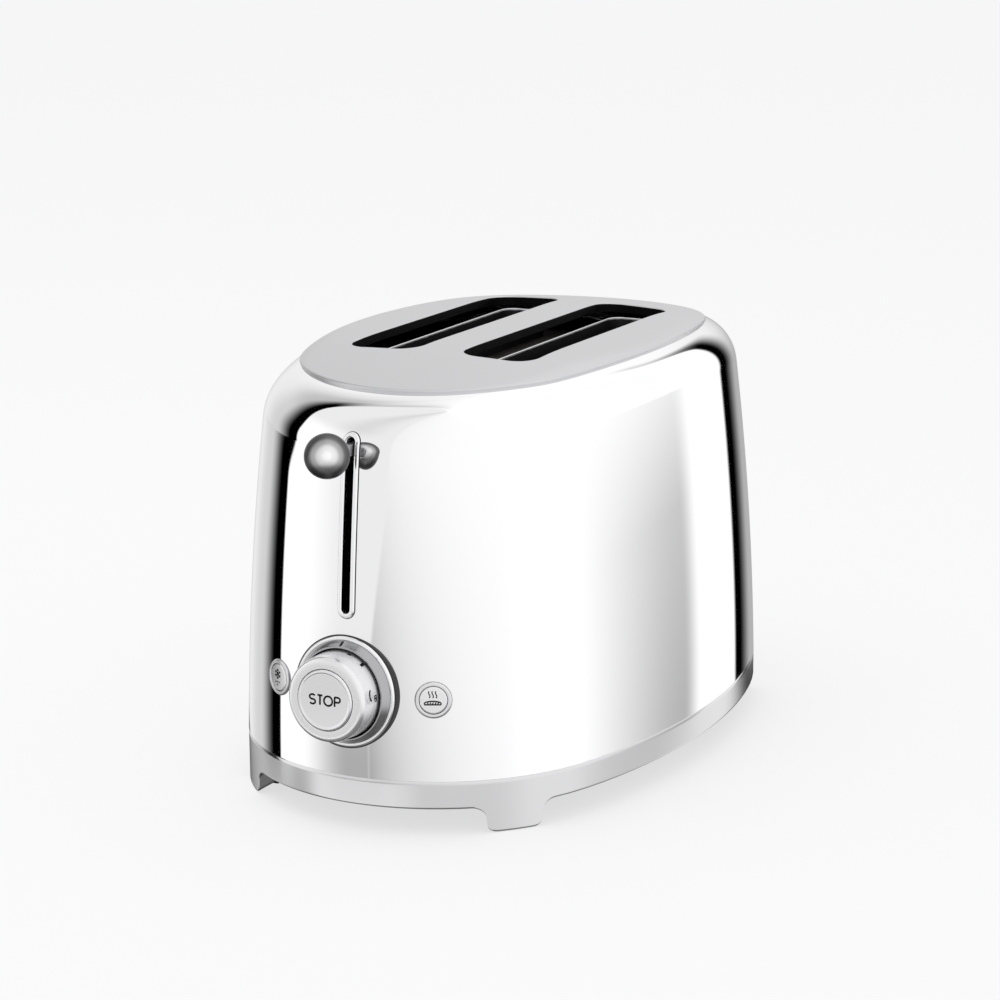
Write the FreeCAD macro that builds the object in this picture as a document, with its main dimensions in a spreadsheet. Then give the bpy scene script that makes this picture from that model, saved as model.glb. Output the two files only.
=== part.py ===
import FreeCAD, Part
import math
import os
import re

import Sketcher

# A two slot pop up toaster with an oval mirror casing, in millimetres.
# Z is up, the feet stand on z = 0, the long way runs along Y and the lever end faces -Y.
# Every size below is written from the middle of the oval. The finished pieces are then moved
# along Y by origin_shift, so that the origin is the middle of the space that the toaster takes up.

vec = FreeCAD.Vector
doc = FreeCAD.newDocument("Toaster")
dims = doc.addObject("Spreadsheet::Sheet", "Dims")

SIZES = {
    # casing: four arcs in plan, walls that lean in as they rise, a crowned top
    "half_width": 97.5,
    "half_length": 154.0,
    "end_slack": 9.5,
    "foot_height": 12.5,
    "skirt_top": 24.0,
    "skirt_wall": 2.6,
    "barrel_radius": 1470.0,
    "widest_height": -5.5,
    "crown_top": 197.5,
    "crown_radius": 700.0,
    "shoulder_radius": 24.0,
    "shell_wall": 1.0,
    "core_inset": 45.0,
    "wall_head": 12.0,
    "overrun": 5.0,
    # satin top plate and its bread slots
    "plate_thickness": 1.5,
    "plate_margin": 21.0,
    "plate_end_margin": 32.5,
    "plate_slack": 8.5,
    "plate_seat": 7.0,
    "slot_centre_share": 0.29026,
    "slot_width_share": 0.18359,
    "slot_margin": 79.3,
    "slot_corner": 10.5,
    "slot_middle": 4.0,
    "lip_depth": 4.5,
    "lip_wall": 0.8,
    # skirt, legs and pads
    "leg_ground": 0.6,
    "leg_thickness": 12.0,
    "leg_margin": 5.0,
    "ledge_thickness": 1.5,
    "end_arch_corner": 9.5,
    "side_arch_corner": 13.0,
    "pad_radius": 3.4,
    "pad_depth": 3.0,
    "pad_fit": 0.15,
    "pad_inset": 4.76,
    "pad_angle": 38.66,
    # base plate and crumb tray
    "base_sheet": 1.2,
    "base_gap": 0.4,
    "vent_width": 4.0,
    "vent_pitch": 9.0,
    "vent_count": 7.0,
    "vent_margin": 12.5,
    "vent_gap": 5.0,
    "tray_inset": 6.0,
    "tray_clearance": 8.0,
    "tray_sheet": 1.0,
    "tray_height": 6.2,
    "tray_gap": 0.3,
    "tray_play": 0.4,
    "tray_lip_reach": 26.0,
    "scoop_half_width": 24.0,
    "scoop_reach": 8.0,
    "rail_width": 2.0,
    "rail_height": 5.0,
    # toasting chamber
    "chamber_clearance": 10.8,
    "front_room": 76.0,
    "rear_room": 68.0,
    "chamber_drop": 22.5,
    "sheet": 0.8,
    "tongue_half_width": 42.0,
    "tongue_length": 30.0,
    "liner_shelf": 7.5,
    "liner_end_shelf": 5.7,
    "liner_corner": 6.0,
    "liner_wall": 0.8,
    "liner_drop": 7.0,
    # heaters
    "board_clearance": 6.5,
    "mica_thickness": 0.6,
    "board_low": 45.0,
    "board_drop": 10.0,
    "ribbon_thickness": 0.3,
    "ribbon_width": 2.0,
    "ribbon_margin": 8.0,
    "ribbon_count": 8.0,
    # bread guides
    "guide_clearance": 2.1,
    "guide_low": 46.0,
    "guide_drop": 7.0,
    "guide_wire": 0.9,
    "guide_pin": 0.9,
    "guide_gap": 2.0,
    "bar_radius": 0.7,
    "bar_count": 9.0,
    "running_fit": 0.05,
    # lever carriage
    "rod_radius": 2.5,
    "rod_centre_x": 20.0,
    "rod_room": 22.0,
    "bush_radius": 5.5,
    "bush_height": 16.0,
    "bush_below": 32.9,
    "carriage_room": 12.0,
    "carriage_sheet": 2.0,
    "carriage_half_width": 38.0,
    "carriage_above": 4.1,
    "lifter_half_width": 4.0,
    "lifter_tray": 1.2,
    "lifter_blade": 1.5,
    "lifter_rise": 14.0,
    "lifter_depth": 12.0,
    "lifter_clearance": 8.0,
    "lifter_tail": 1.5,
    "lifter_play": 0.8,
    # lever
    "lever_drop": 32.6,
    "lever_half_height": 2.6,
    "lever_half_width": 1.5,
    "lever_collar": 3.2,
    "ball_rise": 1.0,
    "ball_radius": 9.6,
    "ball_out": 10.0,
    "collar_sink": 0.8,
    "collar_out": 3.5,
    # lever slot and its raised rim
    "rim_half_width": 4.2,
    "gap_half_width": 1.95,
    "rim_above": 7.0,
    "rim_below": 6.1,
    "rim_clearance": 7.8,
    "rim_proud": 1.2,
    "rim_depth": 2.0,
    "rim_fit": 0.05,
    # lift spring
    "spring_x": 34.0,
    "spring_radius": 4.6,
    "spring_wire": 0.6,
    "spring_tab": 2.0,
    "spring_rise": 6.0,
    # magnet
    "magnet_x": 36.0,
    "magnet_half_x": 11.0,
    "magnet_half_y": 6.0,
    "magnet_base": 4.0,
    "magnet_air": 0.5,
    "magnet_reach": 38.0,
    "pole_thickness": 4.0,
    "coil_gap": 0.4,
    "coil_wall": 3.5,
    "coil_height": 9.0,
    "pole_half": 2.5,
    "bracket_height": 4.8,
    "bracket_edge": 2.0,
    "keeper_thickness": 3.0,
    # browning dial
    "knob_height_share": 0.30886,
    "ring_radius": 24.0,
    "ring_proud": 0.9,
    "ring_floor": 3.6,
    "ring_wall": 1.2,
    "ring_depth": 7.0,
    "ring_rim": 1.6,
    "ring_fit": 0.1,
    "knob_radius": 19.4,
    "knob_face_radius": 18.4,
    "knob_edge": 2.4,
    "knob_face": 17.0,
    "knob_back": 2.7,
    "knob_web": 5.0,
    "knob_wall": 2.2,
    "well_radius": 14.0,
    "well_depth": 9.5,
    "hub_radius": 5.0,
    "hub_reach": 29.5,
    "stop_radius": 13.3,
    "stop_proud": 0.9,
    "stop_thickness": 4.5,
    "stop_stem": 3.0,
    "stop_travel": 1.5,
    "stop_gap": 0.3,
    "encoder_radius": 11.0,
    "encoder_depth": 8.4,
    "control_depth": 34.4,
    "board_thickness": 1.6,
    "board_half_width": 46.0,
    "board_up": 21.0,
    "board_down": 24.0,
    "stand_half_width": 40.0,
    "stand_thickness": 5.0,
    "key_radius": 3.6,
    "key_height": 2.6,
    # side buttons
    "button_x": 38.0,
    "button_below": 1.0,
    "flange_radius": 7.9,
    "flange_proud": 1.0,
    "barrel_outer": 7.2,
    "barrel_length": 13.0,
    "barrel_fit": 0.1,
    "button_radius": 5.9,
    "button_fit": 0.3,
    "button_proud": 0.7,
    "button_skirt": 6.0,
    "plunger_radius": 2.4,
    "plunger_reach": 11.2,
    "switch_half": 6.0,
    "switch_depth": 6.0,
    # mains side
    "gland_clearance": 8.0,
    "gland_margin": 74.0,
    "gland_radius": 6.0,
    "gland_bore": 3.6,
    "gland_flange": 8.5,
    "gland_flange_depth": 1.5,
    "gland_length": 13.0,
    "gland_fit": 0.1,
    "terminal_half_x": 6.0,
    "terminal_half_y": 14.0,
    "terminal_height": 14.0,
    "terminal_clearance": 14.0,
    "terminal_gap": 32.0,
    "contact_half_x": 9.0,
    "contact_half_y": 5.0,
    "contact_height": 18.0,
    # fasteners
    "screw_radius": 2.6,
    "screw_head": 1.6,
    "screw_shank": 1.4,
    "screw_hole": 1.6,
    "screw_inset": 7.0,
    "side_screw_y": 45.0,
}

# Each formula uses sizes and earlier formulas. The plate, the chamber, the tray and the legs
# follow the casing's width and length; the lever, its slot and the carriage follow its height.
FORMULAS = {
    "end_radius": "half_width - end_slack",
    "side_radius": "(half_width^2 + (half_length - end_radius)^2 - end_radius^2)"
                   " / (2 * (half_width - end_radius))",
    "plate_half_width": "half_width - plate_margin",
    "plate_half_length": "half_length - plate_end_margin",
    "plate_end_radius": "plate_half_width - plate_slack",
    "plate_side_radius": "(plate_half_width^2 + (plate_half_length - plate_end_radius)^2"
                         " - plate_end_radius^2) / (2 * (plate_half_width - plate_end_radius))",
    "barrel_sag": "sqrt(barrel_radius^2 - (skirt_top - widest_height)^2)",
    "slot_centre": "half_width * slot_centre_share",
    "slot_half_width": "half_width * slot_width_share",
    "slot_half_length": "half_length - slot_margin",
    "liner_half_width": "slot_half_width - liner_shelf",
    "liner_half_length": "slot_half_length - liner_end_shelf",
    "guide_offset": "liner_half_width + guide_clearance",
    "board_offset": "liner_half_width + board_clearance",
    "chamber_half_width": "slot_centre + board_offset + chamber_clearance",
    "chamber_front": "half_length - front_room",
    "chamber_rear": "half_length - rear_room",
    "chamber_top": "crown_top - chamber_drop",
    "board_high": "chamber_top - board_drop",
    "guide_high": "chamber_top - guide_drop",
    "liner_top": "crown_top - liner_drop",
    "tongue_reach": "chamber_front + tongue_length",
    "pad_centre_x": "(end_radius - pad_inset) * cos(pad_angle)",
    "pad_centre_y": "half_length - end_radius + (end_radius - pad_inset) * sin(pad_angle)",
    "end_arch": "pad_centre_x - leg_margin",
    "side_arch": "pad_centre_y - leg_margin",
    "base_top": "foot_height + ledge_thickness + base_sheet",
    "tray_half_width": "chamber_half_width - tray_inset",
    "tray_front": "chamber_front - tray_clearance",
    "tray_lip_start": "half_length - tray_lip_reach",
    "tray_floor": "base_top + tray_gap",
    "tray_top": "tray_floor + tray_height",
    "vent_outer": "half_width - vent_margin",
    "vent_inner": "tray_half_width + vent_gap",
    "knob_height": "crown_top * knob_height_share",
    "lever_height": "crown_top - lever_drop",
    "rim_high": "lever_height + rim_above",
    "rim_low": "knob_height + ring_radius + rim_clearance",
    "travel": "lever_height - rim_below - rim_low",
    "rod_centre_y": "chamber_front + rod_room",
    "carriage_y": "chamber_front + carriage_room",
    "carriage_low": "travel + magnet_reach",
    "carriage_high": "lever_height + carriage_above",
    "bush_low": "lever_height - bush_below",
    "lifter_top": "carriage_low + lifter_rise",
    "lifter_front": "chamber_front - lifter_clearance",
    "lifter_rear": "chamber_rear - lifter_clearance",
    "spring_foot": "carriage_low + spring_rise",
    "magnet_top": "magnet_reach - magnet_air",
    "ball_forward": "half_length + ball_out",
    "collar_forward": "half_length - collar_sink",
    "collar_end": "half_length + collar_out",
    "ball_reach": "ball_forward + ball_radius",
    "origin_shift": "(ball_reach - half_length) / 2",
    "knob_inset": "barrel_sag - sqrt(barrel_radius^2 - (knob_height - widest_height)^2)",
    "knob_forward": "half_length - knob_inset",
    "face_tilt": "asin((knob_height - widest_height) / barrel_radius)",
    "button_height": "knob_height - button_below",
    "button_inset": "barrel_sag - sqrt(barrel_radius^2 - (button_height - widest_height)^2)",
    "button_turn": "asin(button_x / (end_radius - button_inset))",
    "button_forward": "half_length - end_radius"
                      " + sqrt((end_radius - button_inset)^2 - button_x^2)",
    "board_back": "control_depth + board_thickness",
    "gland_x": "chamber_half_width + gland_clearance",
    "gland_y": "half_length - gland_margin",
    "terminal_x": "chamber_half_width + terminal_clearance",
    "terminal_y": "gland_y - terminal_gap",
    "side_screw_x": "sqrt((side_radius - screw_inset)^2 - side_screw_y^2) - side_radius + half_width",
}


def write_sheet():
    """Put every size, and the formulas that follow from them, into the sheet."""
    rows = list(SIZES.items()) + [(name, "=" + text) for name, text in FORMULAS.items()]
    for row, (name, value) in enumerate(rows, 1):
        dims.set("A%d" % row, name.replace("_", " "))
        dims.set("B%d" % row, str(value))
        dims.setAlias("B%d" % row, name)
    doc.recompute()


write_sheet()
NAMES = set(SIZES) | set(FORMULAS)
home_y = {}
pieces = []


def linked(text):
    """Point each size named in an expression at its cell in the sheet."""
    return re.sub(r"[a-z][a-z_]*", lambda m: "Dims." + m.group() if m.group() in NAMES else m.group(), text)


def size(text):
    """The value of an expression in the sheet's sizes."""
    return float(dims.evalExpression(text))


def bind(obj, prop, text):
    obj.setExpression(prop, linked(text))


def place(obj, x="0", y="0", z="0"):
    """Tie an object's position to the sheet."""
    for axis, text in zip("xyz", (x, y, z)):
        bind(obj, "Placement.Base." + axis, text)
    home_y[obj.Name] = y
    return obj


def piece(label, obj):
    """Name a finished piece and move it so that the origin is the middle of the whole."""
    bind(obj, "Placement.Base.y", "(%s) + origin_shift" % home_y.get(obj.Name, "0"))
    obj.Label = label
    pieces.append(obj)
    return obj


def block(name, x, y, z):
    """A rectangular block between a low and a high side on each axis."""
    obj = doc.addObject("Part::Box", name)
    for side, (low, high) in zip(("Length", "Width", "Height"), (x, y, z)):
        bind(obj, side, "(%s) - (%s)" % (high, low))
    return place(obj, x[0], y[0], z[0])


AIM = {"x": vec(1, 0, 0), "y": vec(0, 1, 0), "z": vec(0, 0, 1)}


def rod(name, radius, length, x="0", y="0", z="0", along="z"):
    """A round bar that starts at x, y, z and runs along one axis."""
    obj = doc.addObject("Part::Cylinder", name)
    bind(obj, "Radius", radius)
    bind(obj, "Height", length)
    obj.Placement = FreeCAD.Placement(vec(), FreeCAD.Rotation(AIM["z"], AIM[along]))
    return place(obj, x, y, z)


def join(name, *parts):
    obj = doc.addObject("Part::MultiFuse", name)
    obj.Shapes = list(parts)
    obj.Refine = True
    return obj


def group(name, *parts):
    """Separate solids that share one node."""
    obj = doc.addObject("Part::Compound", name)
    obj.Links = list(parts)
    return obj


def cut(name, base, *tools):
    obj = doc.addObject("Part::Cut", name)
    obj.Base = base
    obj.Tool = tools[0] if len(tools) == 1 else join(name + "_tools", *tools)
    return obj


def common(name, base, tool):
    obj = doc.addObject("Part::Common", name)
    obj.Base = base
    obj.Tool = tool
    return obj


def plane(body, role):
    return [item for item in body.Origin.OriginFeatures if item.Role == role][0]


def sketch(body, name, role="XY_Plane", offset=None):
    """A sketch on one of the body's own origin planes, lifted off it by offset."""
    obj = body.newObject("Sketcher::SketchObject", name)
    obj.AttachmentSupport = [(plane(body, role), "")]
    obj.MapMode = "FlatFace"
    if offset:
        bind(obj, "AttachmentOffset.Base.z", offset)
    return obj


def pin(sk, item, point, x, y):
    """Hold a sketch point at x, y."""
    for kind, text in (("DistanceX", x), ("DistanceY", y)):
        index = sk.addConstraint(Sketcher.Constraint(kind, -1, 1, item, point, size(text)))
        bind(sk, "Constraints[%d]" % index, text)


def set_radius(sk, item, text):
    index = sk.addConstraint(Sketcher.Constraint("Radius", item, size(text)))
    bind(sk, "Constraints[%d]" % index, text)


def polygon(sk, points):
    """A closed outline of straight lines through points given as sheet expressions."""
    at = [vec(size(x), size(y), 0) for x, y in points]
    count = len(points)
    first = sk.GeometryCount
    for i in range(count):
        sk.addGeometry(Part.LineSegment(at[i], at[(i + 1) % count]))
    for i in range(count):
        sk.addConstraint(Sketcher.Constraint("Coincident", first + i, 2, first + (i + 1) % count, 1))
        pin(sk, first + i, 1, *points[i])


def rectangle(sk, x, y):
    polygon(sk, [(x[0], y[0]), (x[1], y[0]), (x[1], y[1]), (x[0], y[1])])


def circle(sk, radius, x="0", y="0"):
    item = sk.addGeometry(Part.Circle(vec(size(x), size(y), 0), vec(0, 0, 1), size(radius)))
    pin(sk, item, 3, x, y)
    set_radius(sk, item, radius)


def ring_of_arcs(sk, arcs):
    """Arcs joined smoothly end to end: each is centre, radius, start and end angle."""
    first = sk.GeometryCount
    for (cx, cy), radius, start, end in arcs:
        full = Part.Circle(vec(cx, cy, 0), vec(0, 0, 1), radius)
        sk.addGeometry(Part.ArcOfCircle(full, start, end))
    count = len(arcs)
    for i in range(count):
        sk.addConstraint(Sketcher.Constraint("Tangent", first + i, 2, first + (i + 1) % count, 1))
    return first


def oval(sk, half_width, half_length, end_radius, side_radius, inset="0"):
    """Two end arcs and two side arcs that meet smoothly, all drawn in by inset."""
    reach = size("%s - %s" % (half_length, end_radius))
    side = size("%s - %s" % (side_radius, half_width))
    turn = math.atan2(reach, side)
    small = size("%s - (%s)" % (end_radius, inset))
    large = size("%s - (%s)" % (side_radius, inset))
    first = ring_of_arcs(sk, [
        ((0, reach), small, turn, math.pi - turn),
        ((side, 0), large, math.pi - turn, math.pi + turn),
        ((0, -reach), small, math.pi + turn, 2 * math.pi - turn),
        ((-side, 0), large, -turn, turn),
    ])
    pin(sk, first, 3, "0", "%s - %s" % (half_length, end_radius))
    pin(sk, first + 2, 3, "0", "%s - %s" % (end_radius, half_length))
    for item, radius in ((0, end_radius), (1, side_radius), (2, end_radius), (3, side_radius)):
        set_radius(sk, first + item, "%s - (%s)" % (radius, inset))


def casing_oval(sk, inset="0"):
    oval(sk, "half_width", "half_length", "end_radius", "side_radius", inset)


def plate_oval(sk, inset="0"):
    oval(sk, "plate_half_width", "plate_half_length", "plate_end_radius", "plate_side_radius", inset)


def rounded(sk, x, y, corner):
    """A rectangle between two low and two high sides, with round corners."""
    x_low, x_high = size(x[0]), size(x[1])
    y_low, y_high = size(y[0]), size(y[1])
    r = size(corner)
    quarter = math.pi / 2
    first = sk.GeometryCount
    corners = [(x_low + r, y_low + r, 2), (x_high - r, y_low + r, 3),
               (x_high - r, y_high - r, 0), (x_low + r, y_high - r, 1)]
    sides = [((x_low + r, y_low), (x_high - r, y_low)), ((x_high, y_low + r), (x_high, y_high - r)),
             ((x_high - r, y_high), (x_low + r, y_high)), ((x_low, y_high - r), (x_low, y_low + r))]
    for (cx, cy, part), (start, end) in zip(corners, sides):
        full = Part.Circle(vec(cx, cy, 0), vec(0, 0, 1), r)
        sk.addGeometry(Part.ArcOfCircle(full, part * quarter, part * quarter + quarter))
        sk.addGeometry(Part.LineSegment(vec(*start, 0), vec(*end, 0)))
    for i in range(8):
        sk.addConstraint(Sketcher.Constraint("Tangent", first + i, 2, first + (i + 1) % 8, 1))
    places = [("(%s) + %s" % (x[0], corner), "(%s) + %s" % (y[0], corner)),
              ("(%s) - %s" % (x[1], corner), "(%s) + %s" % (y[0], corner)),
              ("(%s) - %s" % (x[1], corner), "(%s) - %s" % (y[1], corner)),
              ("(%s) + %s" % (x[0], corner), "(%s) - %s" % (y[1], corner))]
    for i, (cx, cy) in enumerate(places):
        pin(sk, first + 2 * i, 3, cx, cy)
        set_radius(sk, first + 2 * i, corner)


def pad(body, sk, length, middle=False, flip=False):
    obj = body.newObject("PartDesign::Pad", "Pad")
    obj.Profile = sk
    bind(obj, "Length", length)
    obj.Midplane = middle
    obj.Reversed = flip
    return obj


def pocket(body, sk, length=None, middle=False, flip=False):
    """Cut a sketch out of the body, through all of it unless a length is given."""
    obj = body.newObject("PartDesign::Pocket", "Pocket")
    obj.Profile = sk
    if length:
        bind(obj, "Length", length)
    else:
        obj.Type = "ThroughAll"
    obj.Midplane = middle
    obj.Reversed = flip
    return obj


def revolve(body, sk, kind="Revolution"):
    obj = body.newObject("PartDesign::" + kind, kind)
    obj.Profile = sk
    obj.ReferenceAxis = (sk, ["V_Axis"])
    obj.Angle = 360
    return obj


def turned(name, outline):
    """A body of revolution about its own Z axis, from radius and height pairs."""
    body = doc.addObject("PartDesign::Body", name)
    sk = sketch(body, name + "_outline", "XZ_Plane")
    polygon(sk, outline)
    revolve(body, sk)
    return body


def slab(name, shape, low, high, *holes):
    """A body padded from low to high, its outline and holes drawn by small functions."""
    body = doc.addObject("PartDesign::Body", name)
    sk = sketch(body, name + "_outline", "XY_Plane", low)
    shape(sk)
    for hole in holes:
        hole(sk)
    pad(body, sk, "(%s) - (%s)" % (high, low))
    return body


def check_cut(body, feature):
    """A pocket that removes nothing is a mistake, so it stops the build."""
    doc.recompute()
    before = feature.BaseFeature.Shape.Volume
    if not feature.Shape.Volume < before:
        raise RuntimeError(body.Name + ": a cut removed nothing")


# Outer form of the casing. The wall's side view is one large arc, swept round the plan.
# The crown is part of a sphere, and a large fillet turns the wall into the crown.
def form(name, inset):
    """The casing's solid form, drawn in by inset on every side."""
    body = doc.addObject("PartDesign::Body", name)
    spine = sketch(body, name + "_plan")
    casing_oval(spine)
    wall = sketch(body, name + "_wall", "XZ_Plane")
    low = size("skirt_top")
    high = size("crown_top + wall_head")
    centre_x = size("half_width - barrel_sag")
    radius = size("barrel_radius - (%s)" % inset)
    lift = size("widest_height")
    ends = []
    for height in (low, high):
        across = math.sqrt(radius ** 2 - (height - lift) ** 2)
        ends.append(vec(centre_x + across, height, 0))
    core = size("half_width - core_inset")
    start = math.asin((low - lift) / radius)
    end = math.asin((high - lift) / radius)
    full = Part.Circle(vec(centre_x, lift, 0), vec(0, 0, 1), radius)
    wall.addGeometry(Part.ArcOfCircle(full, start, end))
    wall.addGeometry(Part.LineSegment(ends[1], vec(core, high, 0)))
    wall.addGeometry(Part.LineSegment(vec(core, high, 0), vec(core, low, 0)))
    wall.addGeometry(Part.LineSegment(vec(core, low, 0), ends[0]))
    for i in range(4):
        wall.addConstraint(Sketcher.Constraint("Coincident", i, 2, (i + 1) % 4, 1))
    pin(wall, 0, 3, "half_width - barrel_sag", "widest_height")
    set_radius(wall, 0, "barrel_radius - (%s)" % inset)
    pin(wall, 2, 1, "half_width - core_inset", "crown_top + wall_head")
    pin(wall, 2, 2, "half_width - core_inset", "skirt_top")
    wall.addConstraint(Sketcher.Constraint("Horizontal", 1))
    wall.addConstraint(Sketcher.Constraint("Horizontal", 3))
    pipe = body.newObject("PartDesign::AdditivePipe", name + "_sweep")
    pipe.Profile = wall
    pipe.Spine = (spine, ["Edge%d" % n for n in range(1, 5)])
    pipe.Mode = "Frenet"
    heart = sketch(body, name + "_heart", "XY_Plane", "skirt_top")
    casing_oval(heart, "core_inset - overrun")
    pad(body, heart, "crown_top + wall_head - skirt_top")
    ball = doc.addObject("Part::Sphere", name + "_crown")
    bind(ball, "Radius", "crown_radius - plate_thickness - (%s)" % inset)
    place(ball, "0", "0", "crown_top - crown_radius")
    raw = common(name + "_raw", body, ball)
    doc.recompute()
    top = max(raw.Shape.Faces, key=lambda face: face.CenterOfMass.z)
    shoulder = size("shoulder_radius - (%s)" % inset)
    chosen = []
    for number, edge in enumerate(raw.Shape.Edges, 1):
        if any(edge.isSame(other) for other in top.Edges):
            if len(raw.Shape.ancestorsOfType(edge, Part.Face)) == 2:
                chosen.append((number, shoulder, shoulder))
    soft = doc.addObject("Part::Fillet", name + "_form")
    soft.Base = raw
    soft.Edges = chosen
    doc.recompute()
    return soft


def stadium(sk, half_width, low, high, x="0"):
    """An upright slot outline with round ends, from low to high."""
    r = size(half_width)
    x0 = size(x)
    z_low, z_high = size(low) + r, size(high) - r
    axis = vec(0, 0, 1)
    first = sk.GeometryCount
    sk.addGeometry(Part.ArcOfCircle(Part.Circle(vec(x0, z_low, 0), axis, r), math.pi, 2 * math.pi))
    sk.addGeometry(Part.LineSegment(vec(x0 + r, z_low, 0), vec(x0 + r, z_high, 0)))
    sk.addGeometry(Part.ArcOfCircle(Part.Circle(vec(x0, z_high, 0), axis, r), 0, math.pi))
    sk.addGeometry(Part.LineSegment(vec(x0 - r, z_high, 0), vec(x0 - r, z_low, 0)))
    for i in range(4):
        sk.addConstraint(Sketcher.Constraint("Tangent", first + i, 2, first + (i + 1) % 4, 1))
    pin(sk, first, 3, x, "(%s) + (%s)" % (low, half_width))
    pin(sk, first + 2, 3, x, "(%s) - (%s)" % (high, half_width))
    for item in (first, first + 2):
        set_radius(sk, item, half_width)


def facing(obj, x, y, z, turn="0"):
    """Stand an object on the casing wall with its own Z pointing out of the wall."""
    lean = FreeCAD.Rotation(AIM["x"], 90 - size("face_tilt"))
    obj.Placement = FreeCAD.Placement(vec(), FreeCAD.Rotation(AIM["z"], size(turn)) * lean)
    return place(obj, x, y, z)


def at_knob(obj):
    return facing(obj, "0", "-knob_forward", "knob_height")


SIDES = {"left": -1, "right": 1}
BUTTONS = {"defrost": -1, "reheat": 1}


def at_button(obj, side):
    sign = "-" if side < 0 else ""
    return facing(obj, sign + "button_x", "-button_forward", "button_height", sign + "button_turn")


def wall_drill(name, radius, length):
    """A drill that reaches from outside to behind the wall along its own Z."""
    return turned(name, [("0", "-(%s)" % length), (radius, "-(%s)" % length),
                         (radius, length), ("0", length)])


# Casing shell: the outer form less the inner one, open below and under the top plate
outer = form("outer", "0")
inner = form("inner", "shell_wall")
mouth = slab("mouth", lambda sk: plate_oval(sk, "plate_seat"), "chamber_top", "crown_top + overrun")


def gap_body(name, shape, near, far):
    """An outline on the end wall, padded from near to far towards the lever end."""
    body = doc.addObject("PartDesign::Body", name)
    sk = sketch(body, name + "_outline", "XZ_Plane", near)
    shape(sk)
    pad(body, sk, "(%s) - (%s)" % (far, near))
    return body


rim_near = "half_length - core_inset + overrun"
rim_far = "half_length + overrun"
lever_gap = gap_body("lever_gap", lambda sk: stadium(
    sk, "rim_half_width + rim_fit", "rim_low - rim_fit", "rim_high + rim_fit"), rim_near, rim_far)
knob_hole = at_knob(wall_drill("knob_hole", "ring_radius + ring_fit", "ring_depth"))
button_holes = [at_button(wall_drill(name + "_hole", "barrel_outer + barrel_fit", "barrel_length"), side)
                for name, side in BUTTONS.items()]
shell = cut("shell", outer, inner, mouth, lever_gap, knob_hole, *button_holes)
piece("body_shell", shell)

# Top plate: a skin that follows the crown and the shoulder, with a lip down into each slot
plate_form = form("plate", "-plate_thickness")
lip_form = form("lip", "lip_depth")


def slot_outline(sk, side, grow="0"):
    x = "%sslot_centre" % ("-" if side < 0 else "")
    rounded(sk, ("%s - slot_half_width - (%s)" % (x, grow), "%s + slot_half_width + (%s)" % (x, grow)),
            ("slot_middle - slot_half_length - (%s)" % grow, "slot_middle + slot_half_length + (%s)" % grow),
            "slot_corner + (%s)" % grow)


plate_block = slab("plate_block", plate_oval, "chamber_top", "crown_top + overrun")
plate_skin = cut("plate_skin", common("plate_cap", plate_form, plate_block), outer)
lip_tubes = join("lip_tubes", *[slab("lip_" + name, lambda sk, s=side: slot_outline(sk, s, "lip_wall"),
                                     "chamber_top", "crown_top + overrun")
                                for name, side in SIDES.items()])
lips = cut("lips", common("lip_cap", lip_tubes, plate_form), lip_form)
slot_cutters = [slab("slot_" + name, lambda sk, s=side: slot_outline(sk, s),
                     "chamber_top", "crown_top + overrun") for name, side in SIDES.items()]
top_plate = cut("plate_done", join("plate_with_lips", plate_skin, lips), *slot_cutters)
piece("top_plate", top_plate)

# Raised rim round the lever slot: a slot shaped tube trimmed to stand proud of the wall
rim_front = form("rim_front", "-rim_proud")
rim_back = form("rim_back", "rim_depth")
rim_tube = gap_body("rim_tube", lambda sk: (
    stadium(sk, "rim_half_width", "rim_low", "rim_high"),
    stadium(sk, "gap_half_width", "rim_low + rim_half_width - gap_half_width",
            "rim_high - rim_half_width + gap_half_width")), rim_near, rim_far)
piece("slot_rim", cut("rim_done", common("rim_cap", rim_tube, rim_front), rim_back))

# Skirt: a narrow band on a ledge, arched between four solid legs
skirt = doc.addObject("PartDesign::Body", "skirt")
band = sketch(skirt, "band", "XY_Plane", "leg_ground")
casing_oval(band)
casing_oval(band, "skirt_wall")
pad(skirt, band, "skirt_top - leg_ground")
ledge = sketch(skirt, "ledge", "XY_Plane", "leg_ground")
casing_oval(ledge)
casing_oval(ledge, "leg_thickness")
pad(skirt, ledge, "foot_height + ledge_thickness - leg_ground")
for role, half in (("XZ_Plane", "end_arch"), ("YZ_Plane", "side_arch")):
    arch = sketch(skirt, half, role)
    corner = half + "_corner"
    rounded(arch, ("-" + half, half), ("-2 * " + corner, "foot_height"), corner)
    check_cut(skirt, pocket(skirt, arch, middle=True))
window = sketch(skirt, "window", "XZ_Plane", "-tray_front")
rectangle(window, ("-tray_half_width - tray_play", "tray_half_width + tray_play"),
          ("tray_floor - tray_gap / 2", "tray_top + tray_play"))
check_cut(skirt, pocket(skirt, window))
PAD_SPOTS = [(x + "pad_centre_x", y + "pad_centre_y") for x in ("", "-") for y in ("", "-")]
recess = sketch(skirt, "recess", "XY_Plane", "leg_ground")
for x, y in PAD_SPOTS:
    circle(recess, "pad_radius + pad_fit", x, y)
check_cut(skirt, pocket(skirt, recess, "pad_depth", flip=True))
SCREW_SPOTS = [("0", "half_length - screw_inset"), ("0", "screw_inset - half_length")]
SCREW_SPOTS += [(x + "side_screw_x", y + "side_screw_y") for x in ("", "-") for y in ("", "-")]
holes = sketch(skirt, "holes", "XY_Plane", "base_top")
for x, y in SCREW_SPOTS:
    circle(holes, "screw_hole", x, y)
check_cut(skirt, pocket(skirt, holes, "base_top - foot_height + overrun"))
piece("base_skirt", skirt)
piece("foot_pads", group("pads", *[
    rod("pad_%d" % i, "pad_radius", "leg_ground + pad_depth", x, y) for i, (x, y) in enumerate(PAD_SPOTS)]))


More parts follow.
